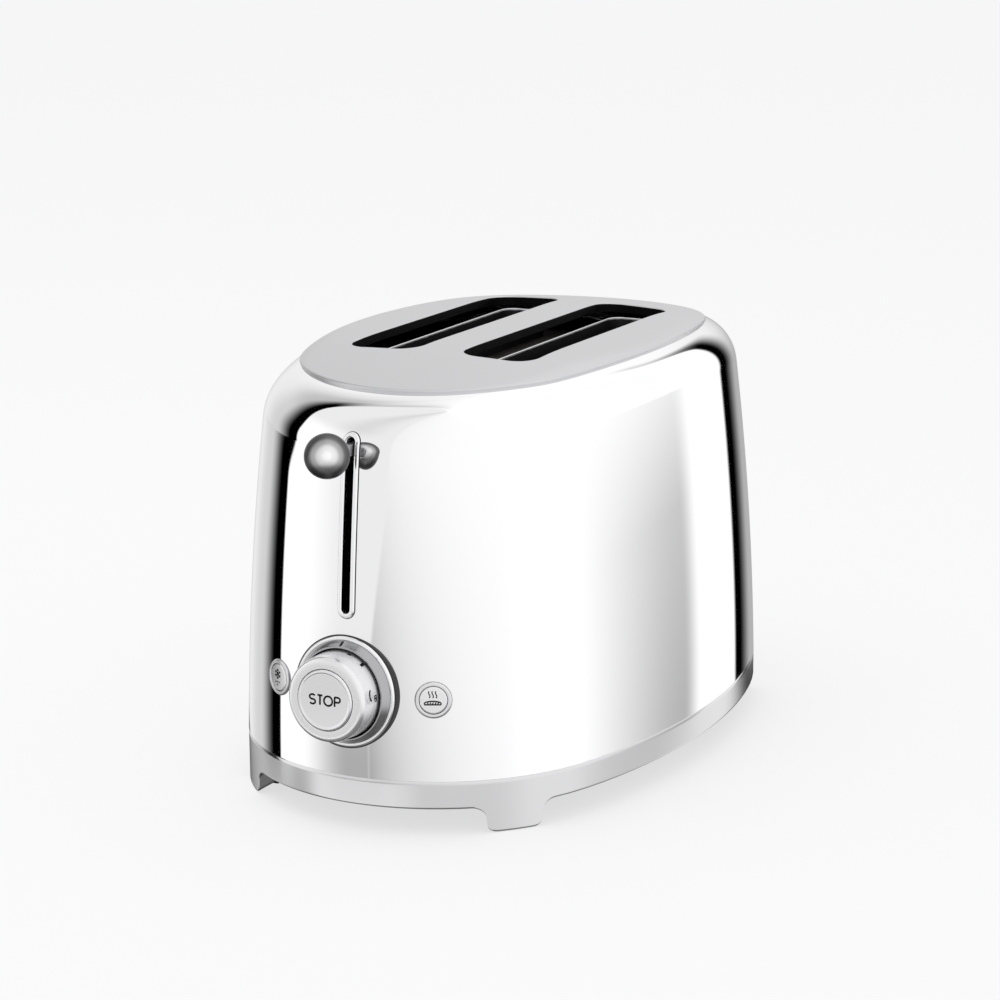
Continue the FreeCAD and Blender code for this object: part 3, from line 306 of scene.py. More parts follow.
def build_outline(half_wide, half_long, flat=8.0, round_off=25.0, count=7200):
    """Directions, x and y of an oval whose radius grows smoothly on its sides."""
    facing = np.linspace(-math.pi, math.pi, count + 1)
    off_side = np.degrees(np.abs(np.abs(facing) - math.pi / 2))
    share = 1 - smooth_step((off_side - flat) / (round_off - flat))
    quarter = (facing >= 0) & (facing <= math.pi / 2)
    step = facing[1] - facing[0]
    along = (share * np.sin(facing))[quarter].sum() * step
    across = (share * np.cos(facing))[quarter].sum() * step
    extra = (half_long - half_wide) / (along - across)
    radius = (half_wide - extra * across) + extra * share
    middle = (radius[1:] + radius[:-1]) / 2
    turned = (facing[1:] + facing[:-1]) / 2
    x = np.concatenate([[0], np.cumsum(middle * np.cos(turned) * step)])
    y = np.concatenate([[0], np.cumsum(middle * np.sin(turned) * step)])
    x -= (x.max() + x.min()) / 2
    y -= (y.max() + y.min()) / 2
    length = np.concatenate([[0], np.cumsum(middle * step)])
    return facing, x, y, length


facing_table, plan_x, plan_y, plan_length = build_outline(half_width, half_length)
print("oval %.1f x %.1f mm, %.0f mm round" % (2 * plan_x.max(), 2 * plan_y.max(), plan_length[-1]))

# %% [markdown]
# ## Walls, shoulder and crown
# The wall leans in along a very large arc. A ball of 24 mm radius rolled along the inside of
# wall and crown gives the soft shoulder. The centre of that ball is found for each direction,
# because the crown is part of a sphere and the oval is not, so its height changes round the top.

# %% The shoulder ball
wall_radius, wall_middle = 1470.0, -5.5
skirt_top, crown_top, crown_radius = 24.0, 197.5, 700.0
plate_thickness, shoulder = 1.5, 24.0
wall_reach = math.sqrt(wall_radius ** 2 - (skirt_top - wall_middle) ** 2)
crown_middle = crown_top - crown_radius
ball_sphere = crown_radius - plate_thickness - shoulder


def outline_at(facing):
    """Point, outward direction and distance round the oval for each direction in radians."""
    x = np.interp(facing, facing_table, plan_x)
    y = np.interp(facing, facing_table, plan_y)
    return x, y, np.sin(facing), -np.cos(facing), np.interp(facing, facing_table, plan_length)


def ball_centres(facing):
    """Inset and height of the shoulder ball's centre, by halving the gap to the crown."""
    x, y, nx, ny, _ = outline_at(facing)
    low, high = np.full_like(x, 120.0), np.full_like(x, 190.0)
    for _ in range(50):
        z = (low + high) / 2
        inset = wall_reach - np.sqrt((wall_radius - shoulder) ** 2 - (z - wall_middle) ** 2)
        off = (x - inset * nx) ** 2 + (y - inset * ny) ** 2 + (z - crown_middle) ** 2
        far = off > ball_sphere ** 2
        high, low = np.where(far, z, high), np.where(far, low, z)
    return inset, z


ball_inset, ball_height = ball_centres(facing_table)
print("shoulder ball: %.1f to %.1f mm high" % (ball_height.min(), ball_height.max()))

# %% Points on the casing
def wall_point(facing, z, proud=0.0):
    """Points and normals on the wall, for directions and heights."""
    x, y, nx, ny, _ = outline_at(facing)
    inset = wall_reach - np.sqrt(wall_radius ** 2 - (z - wall_middle) ** 2)
    lean = np.arcsin((z - wall_middle) / wall_radius)
    normal = np.stack([nx * np.cos(lean), ny * np.cos(lean), np.sin(lean)], axis=-1)
    point = np.stack([x - inset * nx, y - inset * ny, z], axis=-1)
    return point + proud * normal, normal


def shoulder_point(facing, share, proud=0.0):
    """Points and normals on the shoulder. share 0 meets the wall, 1 the crown; more runs on."""
    x, y, nx, ny, _ = outline_at(facing)
    inset = np.interp(facing, facing_table, ball_inset)
    z = np.interp(facing, facing_table, ball_height)
    centre = np.stack([x - inset * nx, y - inset * ny, z], axis=-1)
    lean = np.arcsin((z - wall_middle) / (wall_radius - shoulder))
    start = np.stack([nx * np.cos(lean), ny * np.cos(lean), np.sin(lean)], axis=-1)
    end = (centre - [0, 0, crown_middle]) / ball_sphere
    angle = np.arccos(np.clip((start * end).sum(axis=-1), -1, 1))[..., None]
    share = np.asarray(share)[..., None]
    part = np.minimum(share, 1.0)
    normal = (np.sin((1 - part) * angle) * start + np.sin(part * angle) * end) / np.sin(angle)
    point = centre + (shoulder + proud) * normal
    past = np.maximum(share - 1.0, 0.0) * angle * shoulder
    further = point[..., :2] - past * np.stack([nx, ny], axis=-1)
    sphere = crown_radius - plate_thickness + proud
    height = crown_middle + np.sqrt(sphere ** 2 - (further ** 2).sum(-1, keepdims=True))
    over = np.concatenate([further, height], -1)
    return (np.where(share > 1.0, over, point),
            np.where(share > 1.0, (over - [0, 0, crown_middle]) / sphere, normal))


def wall_top(facing):
    """Height at which the wall passes into the shoulder."""
    z = np.interp(facing, facing_table, ball_height)
    return z + shoulder * (z - wall_middle) / (wall_radius - shoulder)


# %% Where the casing ends under the top plate
plate_half_width, plate_half_length, plate_overlap = 76.5, 121.5, 4.5
plate_facing, plate_x, plate_y, _ = build_outline(plate_half_width, plate_half_length)


def last_share(facing):
    """How far over the shoulder the casing runs, in shares, to end just under the plate's edge."""
    x, y, nx, ny, _ = outline_at(facing)
    at, outward = np.stack([x, y], axis=-1), np.stack([nx, ny], axis=-1)
    plate_at = np.stack([np.interp(facing, plate_facing, t) for t in (plate_x, plate_y)], axis=-1)
    under = ((at - plate_at) * outward).sum(axis=-1)
    shares = np.linspace(0.3, 1.6, 14)
    insets = [((at - shoulder_point(facing, np.full_like(x, v))[0][..., :2]) * outward).sum(axis=-1)
              for v in shares]
    return np.array([np.interp(want + plate_overlap, inset, shares)
                     for want, inset in zip(under, np.stack(insets).T)])


coarse = facing_table[::60]
share_table = last_share(coarse)
wall_span, shoulder_span = 145.0, 32.0
print("the casing runs on for %.2f to %.2f of its shoulder"
      % (share_table.min(), share_table.max()))


# %% Any point of the casing
def casing_point(facing, climb, proud=0.0):
    """Points and normals on wall or shoulder. climb runs up the wall and on over the shoulder."""
    facing, climb = np.broadcast_arrays(np.asarray(facing, float), np.asarray(climb, float))
    share = np.clip(climb / wall_span, 0, 1)
    wall = wall_point(facing, skirt_top + share * (wall_top(facing) - skirt_top), proud)
    over = shoulder_point(facing, np.clip((climb - wall_span) / shoulder_span, 0, 1)
                          * np.interp(facing, coarse, share_table), proud)
    higher = (climb > wall_span)[..., None]
    return np.where(higher, over[0], wall[0]), np.where(higher, over[1], wall[1])


def front_place(x, z):
    """Direction and climb of the point of the lever end that is seen at x and z from the front."""
    climbs = np.linspace(0, wall_span + shoulder_span, 300)
    first_radius, tiny = 88.0, 0.001
    out = []
    for a, b in zip(np.ravel(x), np.ravel(z)):
        facing = a / first_radius
        for _ in range(6):
            climb = np.interp(b, casing_point(facing, climbs)[0][:, 2], climbs)
            here = casing_point(facing, climb)[0][0]
            ahead = casing_point(facing + tiny, climb)[0][0]
            facing += (a - here) / (ahead - here) * tiny
        out.append((facing, climb))
    return np.array(out)


print("wall meets shoulder at %.1f mm on the lever end" % wall_top(np.array(0.0)))

# %% [markdown]
# ## The camera
# The camera stands where the photographer stood: turned round to the right of the lever end
# and a little above it, far enough away that the sides hardly converge.

# %% Camera
# Found by fitting the casing's outline in the photograph: degrees, millimetres, then pixels.
azimuth, elevation, roll = map(math.radians, (27.69, 13.59, -0.377))
aim_height, aim_aside, distance = 111.63, -4.592, 1460.9
focal_pixels, picture_pixels, sensor = 3154.2, 1000, 36.0
look_right = Vector((math.cos(azimuth), math.sin(azimuth), 0))
look_back = Vector((math.sin(azimuth) * math.cos(elevation),
                    -math.cos(azimuth) * math.cos(elevation), math.sin(elevation)))
look_up = look_back.cross(look_right)
cam_right = math.cos(roll) * look_right + math.sin(roll) * look_up
cam_up = -math.sin(roll) * look_right + math.cos(roll) * look_up
cam_place = (Vector((0, shift, aim_height)) + cam_right * aim_aside + look_back * distance) * MM
camera = new_object("camera", bpy.data.cameras.new("camera"))
camera.matrix_world = Matrix([*zip(cam_right, cam_up, look_back, cam_place), (0, 0, 0, 1)])
camera.data.sensor_width = sensor
camera.data.lens = focal_pixels / picture_pixels * sensor
camera.data.clip_end = 100.0
bpy.context.scene.camera = camera
bpy.context.scene.view_settings.view_transform = "Standard"
print("camera %.2f m from the toaster, lens %.0f mm" % (distance * MM, camera.data.lens))

# %% [markdown]
# ## A studio for a mirror
# A mirror shows the room and nothing else, so the room is the material. In the photograph the
# casing reflects a big white tent with a dark gap on each side. Each gap has one sharp edge,
# where the tent ends, and is soft beyond it. Low down, the tent has a few grey folds. Here the
# world is that tent: its colour depends on the direction, by an angle round the object (0 is
# the lever end, 90 the right side) and an angle above the horizon. Only reflections see it.
# The camera sees a plain white room, and matte surfaces get an even white light.

# %% Small steps for the world's nodes
world = bpy.data.worlds.new("studio")
bpy.context.scene.world = world
world.use_nodes = True
room = world.node_tree
room.nodes.clear()


def sums(operation, *values):
    """One step of arithmetic: each value is a number or another node's output."""
    return step(room, "ShaderNodeMath", dict(enumerate(values)), operation=operation)


def both(first, *more):
    """The product of several values."""
    for value in more:
        first = sums("MULTIPLY", first, value)
    return first


def without(value):
    """What a share leaves of the whole."""
    return sums("SUBTRACT", 1.0, value)


def fade(value, start, end, first=0.0, last=1.0, kind="SMOOTHSTEP"):
    """Goes from first to last as value goes from start to end."""
    return step(room, "ShaderNodeMapRange",
                {"Value": value, "From Min": start, "From Max": end,
                 "To Min": first, "To Max": last}, interpolation_type=kind)


# %% Directions round the toaster, in degrees
degrees = 180 / math.pi
split = room.nodes.new("ShaderNodeSeparateXYZ")
fill(room, split, {0: step(room, "ShaderNodeTexCoord", {}, "Generated")})
way_x, way_y, way_z = split.outputs
turn = sums("MULTIPLY", sums("ARCTAN2", way_x, sums("MULTIPLY", way_y, -1.0)), degrees)
full_turn = sums("MODULO", sums("ADD", turn, 360.0), 360.0)
above = sums("MULTIPLY", sums("ARCSINE", way_z), degrees)

# %% The dark gap on the left
left_edge = -81.5
over = sums("MAXIMUM", sums("SUBTRACT", above, 15.0), 0.0)
bend = sums("SUBTRACT", fade(above, -6.5, -4.0, 0.0, 6.5), both(over, over, 0.0165))
past = sums("SUBTRACT", sums("ADD", bend, left_edge), turn)
left_gap = both(fade(past, -0.6, 1.0), fade(past, 8, 26, 1.0, 0.38), fade(past, 26, 52, 1.0, 0.55),
                fade(above, 50, 62, 1.0, 0.3), fade(full_turn, 195, 240))

# %% The dark gap on the right
right_edge, right_edge_high = 173.0, 161.0
past = sums("SUBTRACT", full_turn, fade(above, 14, 34, right_edge, right_edge_high))
softer = fade(both(past, fade(above, 12, 30, 1.0, 2.4)), 3.5, 14.0)
rest = fade(above, -10, 14, 0.58, 0.15)
right_gap = both(fade(past, -1.0, 0.8), without(both(softer, without(rest))),
                 fade(above, 14, 33, 1.0, 0.3), fade(above, 33, 42, 1.0, 0.0),
                 fade(full_turn, 200, 235, 1.0, 0.0))

# %% Grey folds low in the tent
white = 1.10
right_fold = both(fade(turn, 156, 149), fade(turn, 150, 112, 1.0, 0.0),
                  sums("ADD", fade(above, -3, -9, 0.03, 0.43, "LINEAR"),
                       fade(above, -9, -16, 0.0, 0.12, "LINEAR")))
decay = sums("EXPONENT", sums("MULTIPLY", sums("MAXIMUM", sums("ADD", turn, 14.0), 0.0), -1 / 35))
leaning = sums("SUBTRACT", turn, fade(above, -13, 1, 0.0, 12.5))
middle_fold = both(fade(leaning, -16.5, -14.0), decay, fade(turn, 85, 60),
                   fade(above, 0, -16, 0.18, 0.60, "LINEAR"))
left_fold = both(fade(turn, -64, -28), fade(leaning, -16.5, -14.0, 1.0, 0.0),
                 fade(above, -9, -16, 0.18, 0.60))
high_fold = both(fade(above, 22, 40), fade(turn, -5, -40), fade(full_turn, 195, 240), 0.18)
tent = white
for fold in (left_gap, right_gap, right_fold, middle_fold, left_fold, high_fold):
    tent = both(without(fold), tent)

# %% The table under the tent
# Only undersides and faces that are upright or lean out see this low.
behind = sums("MAXIMUM",
              both(fade(full_turn, 166, 184, 0.06, 0.95), fade(full_turn, 205, 262, 1.0, 0.44)),
              both(fade(full_turn, 240, 252), fade(full_turn, 262, 282, 0.42, 0.20)))
left_patch = both(fade(turn, -76, -64), fade(turn, -62, -49, 1.0, 0.0), 0.30)
right_patch = both(fade(turn, 106, 132), fade(turn, 138, 158, 1.0, 0.0), 0.26)
middle_patch = both(fade(turn, 2, 19), fade(turn, 54, 88, 1.0, 0.0), 0.19)
low = white
for patch in (both(behind, fade(full_turn, 290, 315, 1.0, 0.0)), left_patch, right_patch,
              middle_patch):
    low = both(without(patch), low)
low = both(low, fade(above, -24, -42, 1.0, 0.22))
tent_foot, foot_blend = -17.35, 0.25
horizon = sums("ADD", sums("ADD", fade(full_turn, 120, 178, 0.0, 0.97),
                           fade(full_turn, 198, 235, 0.0, -1.2)), tent_foot)
lower = fade(sums("SUBTRACT", above, horizon), foot_blend, -foot_blend)
tent = sums("ADD", both(tent, without(lower)), both(low, lower))

# %% Who sees what
seen_by = room.nodes.new("ShaderNodeLightPath").outputs
tent_light, even_light, backdrop = [
    step(room, "ShaderNodeBackground", {"Color": colour})
    for colour in (tent, (0.80, 0.80, 0.81, 1.0), (0.92, 0.92, 0.925, 1.0))]
shown = step(room, "ShaderNodeMixShader", {0: seen_by["Is Glossy Ray"], 1: even_light,
                                           2: tent_light})
shown = step(room, "ShaderNodeMixShader", {0: seen_by["Is Camera Ray"], 1: shown, 2: backdrop})
fill(room, room.nodes.new("ShaderNodeOutputWorld"), {0: shown})
print("world nodes:", len(room.nodes))

# %% [markdown]
# ## Floor and lamp
# The floor is a pale sheet that only has to catch a soft shadow, so most of its light is its
# own and a shadow takes away only the rest. A mirror this close to the floor would show mostly
# floor, so it is hidden from reflections, and the tent carries on below the horizon. One lamp
# overhead gives the shadow its direction, and is hidden from reflections too.

# %% Floor
reach = 12
floor_mesh = bpy.data.meshes.new("floor")
floor_mesh.from_pydata([(x * reach, y * reach, 0) for x, y in ((-1, -1), (1, -1), (1, 1), (-1, 1))],
                       [], [(0, 1, 2, 3)])
floor = new_object("floor", floor_mesh)
finish("pale floor", (0.30, 0.30, 0.303), 0.0, 0.9, grain=300.0, shade=0.004)
change("pale floor", {"Emission Color": (1.0, 1.0, 1.005, 1.0), "Emission Strength": 0.68,
                      "Specular IOR Level": 0.0})
floor.data.materials.append(materials["pale floor"])
floor.visible_glossy = False
floor.visible_diffuse = False

# %% The lamp overhead
light = bpy.data.lights.new("overhead", "AREA")
light.shape = "RECTANGLE"
light.size, light.size_y, light.energy = 1.4, 1.4, 6.0
lamp = new_object("overhead", light)
lamp.location = (-0.4, -0.4, 1.8)
lit_point = Vector((0, 0, 0.12))
lamp.rotation_euler = (lit_point - lamp.location).to_track_quat("-Z", "Y").to_euler()
lamp.visible_glossy = False
print("floor and lamp")

# %% [markdown]
# ## Sheets with holes
# The casing is one thin sheet. A flat pattern of it is easy to draw: across is the distance
# round the oval, up is the share of the way up the wall. Holes are outlines in that pattern.
# A constrained triangulation fills the pattern round them, and each of its points is then
# carried to the real surface with its exact normal, so that no hole disturbs a reflection.

# %% Tools for sheets
def inside(outline, points):
    """Which points lie inside a closed outline."""
    x, y = points[:, 0], points[:, 1]
    found = np.zeros(len(points), bool)
    a = np.asarray(outline)
    b = np.roll(a, -1, axis=0)
    for (x1, y1), (x2, y2) in zip(a, b):
        crosses = ((y1 > y) != (y2 > y))
        with np.errstate(divide="ignore", invalid="ignore"):
            found ^= crosses & (x < (x2 - x1) * (y - y1) / (y2 - y1) + x1)
    return found


def distance_to(outline, points):
    """How far each point is from a closed outline."""
    a = np.asarray(outline)
    b = np.roll(a, -1, axis=0)
    best = np.full(len(points), 1e9)
    for start, end in zip(a, b):
        along = end - start
        share = np.clip(((points - start) @ along) / max(along @ along, 1e-12), 0, 1)
        best = np.minimum(best, np.linalg.norm(points - start - share[:, None] * along, axis=1))
    return best


def fill_pattern(border, holes, extra, margin):
    """Triangulate inside a border and outside the holes. Border and hole points come first."""
    rings = [np.asarray(border, float)] + [np.asarray(h, float) for h in holes]
    points = np.concatenate(rings)
    edges, first = [], 0
    for ring in rings:
        edges += [(first + i, first + (i + 1) % len(ring)) for i in range(len(ring))]
        first += len(ring)
    extra = np.asarray(extra, float).reshape(-1, 2)
    keep = inside(rings[0], extra) & (distance_to(rings[0], extra) > margin)
    for ring in rings[1:]:
        keep &= ~inside(ring, extra) & (distance_to(ring, extra) > margin)
    points = np.concatenate([points, extra[keep]])
    found = delaunay_2d_cdt([Vector(p) for p in points], edges, [], 1, 1e-7)
    source = [ids[0] for ids in found[3]]
    faces = [[source[i] for i in f] for f in found[2]]
    middles = np.array([points[f].mean(axis=0) for f in faces])
    good = np.ones(len(faces), bool)
    for ring in rings[1:]:
        good &= ~inside(ring, middles)
    out = []
    for f, ok in zip(faces, good):
        if not ok:
            continue
        (ax, ay), (bx, by), (cx, cy) = points[f[0]], points[f[1]], points[f[2]]
        out.append(f if (bx - ax) * (cy - ay) - (by - ay) * (cx - ax) > 0 else f[::-1])
    return points, out


def open_edges(faces):
    """Edges that only one face uses, in that face's direction."""
    seen = {}
    for f in faces:
        for a, b in zip(f, list(f[1:]) + [f[0]]):
            if (b, a) in seen:
                del seen[(b, a)]
            else:
                seen[(a, b)] = True
    return list(seen)


def thicken(points, normals, faces, depth):
    """A closed sheet: the faces, a copy of them depth further in, and rims between the two."""
    count = len(points)
    inner = [[i + count for i in reversed(f)] for f in faces]
    rims = [[b, a, a + count, b + count] for a, b in open_edges(faces)]
    return (np.concatenate([points, points - depth * normals]),
            np.concatenate([normals, -normals]), faces + inner + rims)


# %% Outlines used for holes and trims
def stadium(half_wide, low, high, arc=20, side=24):
    """An upright slot with round ends: x, z points, anticlockwise, and their outward directions."""
    turns = np.linspace(0, math.pi, arc + 1)
    top = [(half_wide * math.cos(t), high - half_wide + half_wide * math.sin(t)) for t in turns]
    bottom = [(-half_wide * math.cos(t), low + half_wide - half_wide * math.sin(t)) for t in turns]
    heights = np.linspace(0, 1, side + 1)[1:-1]
    gap = (high - low) - 2 * half_wide
    left = [(-half_wide, high - half_wide - gap * h) for h in heights]
    right = [(half_wide, low + half_wide + gap * h) for h in heights]
    points = np.array(top + left + bottom + right)
    outward = np.array([(math.cos(t), math.sin(t)) for t in turns] + [(-1, 0)] * len(left)
                       + [(-math.cos(t), -math.sin(t)) for t in turns] + [(1, 0)] * len(right))
    return points, outward


def circle(radius, count=96):
    """Points evenly round a circle."""
    turns = np.arange(count) * 2 * math.pi / count
    return np.stack([radius * np.cos(turns), radius * np.sin(turns)], axis=1)


def facing_of(points):
    """The direction of the wall nearest to each point near the lever end."""
    span = np.radians(np.linspace(-70, 70, 2801))
    px, py, _, _, _ = outline_at(span)
    out = []
    for x, y, _ in np.asarray(points):
        left_over = (x - px) * np.cos(span) + (y - py) * np.sin(span)
        out.append(np.interp(0, left_over[::-1], span[::-1]))
    return np.array(out)


# %% Where the controls sit on the wall
def seat(facing, z):
    """A frame on the wall: its Z points out, its Y up the wall and its X along it."""
    point, normal = wall_point(np.array([facing]), np.array([z]))
    out = normal[0]
    along = np.array([math.cos(facing), math.sin(facing), 0.0])
    return point[0], along, np.cross(out, along), out


def from_seat(place, local):
    """Points given in a seat's own directions, in millimetres from the middle of the oval."""
    middle, along, up, out = place
    local = np.asarray(local, float).reshape(-1, 3)
    return middle + local[:, :1] * along + local[:, 1:2] * up + local[:, 2:3] * out


knob_height, button_height, button_across = 61.0, 60.0, 38.0
dial_seat = seat(0.0, knob_height)
button_facing = front_place(button_across, button_height)[0, 0]
reheat_seat = seat(button_facing, button_height)
defrost_seat = seat(-button_facing, button_height)
print("the buttons face %.1f degrees to each side" % math.degrees(button_facing))

# %% [markdown]
# ## The mirror casing
# The casing is drawn from one sheet of steel. Straight rows of quads follow the wall and the
# shoulder all round. Only the lever end is triangulated, where the lever slot, the dial and
# the two buttons pass through. The shoulder runs on under the top plate, out of sight.

# %% Make the casing
columns, wall_rows, shoulder_rows = 480, 40, 20
half_patch = 64
patch = range(columns // 2 - half_patch, columns // 2 + half_patch)
facings = np.linspace(-math.pi, math.pi, columns + 1)[:-1]
climbs = np.concatenate([np.linspace(0, wall_span, wall_rows + 1),
                         wall_span + np.linspace(0, shoulder_span, shoulder_rows + 1)[1:]])
top_row = wall_rows + shoulder_rows


def pattern_of(facing, z):
    """Place of a wall point in the flat pattern."""
    share = (z - skirt_top) / (wall_top(facing) - skirt_top)
    return np.stack([outline_at(facing)[4], share * wall_span], axis=-1)


def round_hole(place, radius):
    """A round hole square to a seat, in the flat pattern."""
    ring = circle(radius)
    points = from_seat(place, np.column_stack([ring, np.zeros(len(ring))]))
    return pattern_of(facing_of(points), points[:, 2])


dial_hole, button_hole, sheet, margin = 24.75, 8.05, 1.0, 0.7
lever_hole = stadium(4.45, 92.55, 172.15)[0]
lever_place = front_place(lever_hole[:, 0], lever_hole[:, 1])
holes = [np.column_stack([outline_at(lever_place[:, 0])[4], lever_place[:, 1]]),
         round_hole(dial_seat, dial_hole), round_hole(reheat_seat, button_hole),
         round_hole(defrost_seat, button_hole)]
edge_columns = [patch[0] + i for i in range(len(patch) + 1)]
distances = outline_at(facings)[4]
border = ([(distances[k], 0.0) for k in edge_columns]
          + [(distances[edge_columns[-1]], v) for v in climbs[1:]]
          + [(distances[k], climbs[-1]) for k in reversed(edge_columns[:-1])]
          + [(distances[edge_columns[0]], v) for v in climbs[-2:0:-1]])
border_ids = ([(0, k) for k in edge_columns]
              + [(j, edge_columns[-1]) for j in range(1, top_row + 1)]
              + [(top_row, k) for k in reversed(edge_columns[:-1])]
              + [(j, edge_columns[0]) for j in range(top_row - 1, 0, -1)])
grid = [(distances[k], v) for k in edge_columns[1:-1] for v in climbs[1:-1]]
pattern, pattern_faces = fill_pattern(border, holes, grid, margin)

rows = [casing_point(facings, v) for v in climbs]
points = np.concatenate([r[0] for r in rows])
normals = np.concatenate([r[1] for r in rows])
extra = pattern[len(border):]
extra_facing = np.interp(extra[:, 0], plan_length, facing_table)
extra_points, extra_normals = casing_point(extra_facing, extra[:, 1])
index = [j * columns + k for j, k in border_ids] + [len(points) + i for i in range(len(extra))]
faces = [[index[i] for i in f] for f in pattern_faces]
for j in range(top_row):
    for k in range(columns):
        if k in patch:
            continue
        right, low, high = (k + 1) % columns, j * columns, (j + 1) * columns
        faces.append([low + k, low + right, high + right, high + k])
points = np.concatenate([points, extra_points])
normals = np.concatenate([normals, extra_normals])
used = sorted({i for f in faces for i in f})
renumber = {old: new for new, old in enumerate(used)}
faces = [[renumber[i] for i in f] for f in faces]
casing = thicken(points[used], normals[used], faces, sheet)
add_piece("casing", casing[0], casing[2], "mirror steel", stands_for=["body_shell"],
          slot="mirror_steel", normals=casing[1])

# %% [markdown]
# ## The top plate
# A separate satin plate lies on the crown and follows it over the shoulder. Its two long slots
# have turned down lips, which catch the light as thin bright lines. The plate's height is a
# function of x and y, so a flat pattern can be filled and then lifted onto it. Rounded
# strips run along the outer edge and down into the slots.

# %% Height of the crown
def cross(a, b):
    """The flat cross product, row by row."""
    return a[:, 0] * b[:, 1] - a[:, 1] * b[:, 0]


def crown_points(xy, proud):
    """Points and normals of the casing's top over x, y, raised square to it by proud."""
    xy = np.asarray(xy, float)
    sphere = crown_radius - plate_thickness + proud
    crown = np.column_stack([xy, crown_middle + np.sqrt(sphere ** 2 - (xy ** 2).sum(axis=1))])
    crown_normal = (crown - [0, 0, crown_middle]) / sphere
    px, py, _, _, _ = outline_at(coarse)
    facing = coarse[((xy[:, :1] - px) ** 2 + (xy[:, 1:] - py) ** 2).argmin(axis=1)]
    share = np.full(len(xy), 0.8)
    tiny = 1e-4
    for _ in range(8):
        here = shoulder_point(facing, share, proud)[0][:, :2]
        by_facing = (shoulder_point(facing + tiny, share, proud)[0][:, :2] - here) / tiny
        by_share = (shoulder_point(facing, share - tiny, proud)[0][:, :2] - here) / -tiny
        off = xy - here
        area = cross(by_facing, by_share)
        facing = facing + np.clip(cross(off, by_share) / area, -0.2, 0.2)
        facing = (facing + math.pi) % (2 * math.pi) - math.pi
        share = np.clip(share + cross(by_facing, off) / area, 0.3, 1.0)
    ball, ball_normal = shoulder_point(facing, share, proud)
    on_ball = (share < 0.999)[:, None]
    level = np.where(on_ball[:, 0], ball[:, 2], crown[:, 2])
    return np.column_stack([xy, level]), np.where(on_ball, ball_normal, crown_normal)


# %% The flat middle of the plate
flat_top, flat_tilt, flat_radius, flat_blend = 194.3, 0.0057, 1300.0, 1.4


def plate_points(xy, proud):
    """Points and normals of the plate: the crown, pressed flat round the slots."""
    crown, normal = crown_points(xy, proud)
    x, y = crown[:, 0], crown[:, 1]
    flat = flat_top + proud - plate_thickness - flat_tilt * y - x ** 2 / (2 * flat_radius)
    gap = crown[:, 2] - flat
    near = np.clip(1 - np.abs(gap) / flat_blend, 0, 1)
    level = np.minimum(crown[:, 2], flat) - near ** 2 * flat_blend / 4
    share = np.where(gap > 0, 1 - near / 2, near / 2)
    slope_x = (1 - share) * -normal[:, 0] / normal[:, 2] - share * x / flat_radius
    slope_y = (1 - share) * -normal[:, 1] / normal[:, 2] - share * flat_tilt
    normal = np.column_stack([-slope_x, -slope_y, np.ones(len(x))])
    return np.column_stack([x, y, level]), normal / np.linalg.norm(normal, axis=1)[:, None]


# %% Outlines of the plate
slot_centre, slot_middle = 28.3, 4.0
slot_half_width, slot_half_length, slot_corner = 17.9, 74.7, 10.5


def plate_edge(inset, count=240):
    """The plate's outline drawn in by inset, and its outward directions."""
    facing = np.linspace(-math.pi, math.pi, count + 1)[:-1]
    outward = np.column_stack([np.sin(facing), -np.cos(facing)])
    at = np.column_stack([np.interp(facing, plate_facing, t) for t in (plate_x, plate_y)])
    return at - inset * outward, outward


def round_rectangle(half_wide, half_long, corner, grow=0.0, steps=12, side=40):
    """A rectangle with round corners, anticlockwise, and its outward directions."""
    points, outward = [], []
    middles = np.array([(1, 1), (-1, 1), (-1, -1), (1, -1)])
    middles = middles * [half_wide - corner, half_long - corner]
    for number, middle in enumerate(middles):
        for t in np.linspace(0, math.pi / 2, steps + 1) + number * math.pi / 2:
            way = np.array([math.cos(t), math.sin(t)])
            points.append(middle + (corner + grow) * way)
            outward.append(way)
        following = middles[(number + 1) % 4] + (corner + grow) * way
        for share in np.linspace(0, 1, side + 1)[1:-1]:
            points.append(points[number * (steps + side) + steps] * (1 - share) + following * share)
            outward.append(way)
    return np.array(points), np.array(outward)


def strip_faces(rings):
    """Quads between rings of point numbers, each ring as long as the next."""
    out = []
    for a, b in zip(rings, rings[1:]):
        n = len(a)
        for i in range(n):
            j = (i + 1) % n
            out.append([a[i], a[j], b[j], b[i]])
    return out


# %% Tools for the plate's edges
def rolled_edge(base, face_normal, way, radius):
    """Rings that turn from the plate's face over to its edge, and their normals."""
    turns = np.radians([22.5, 45, 67.5, 90])
    rings = [base + (math.sin(t) - 1) * radius * way - (1 - math.cos(t)) * radius * face_normal
             for t in turns]
    return rings, [math.sin(t) * way + math.cos(t) * face_normal for t in turns]


def add_rings(rings, ring_normals):
    """Append rings of new points to the plate's and give back their numbers."""
    numbers = []
    for ring, way in zip(rings, ring_normals):
        start = sum(map(len, points))
        points.append(ring)
        normals.append(way)
        numbers.append(list(range(start, start + len(ring))))
    return numbers


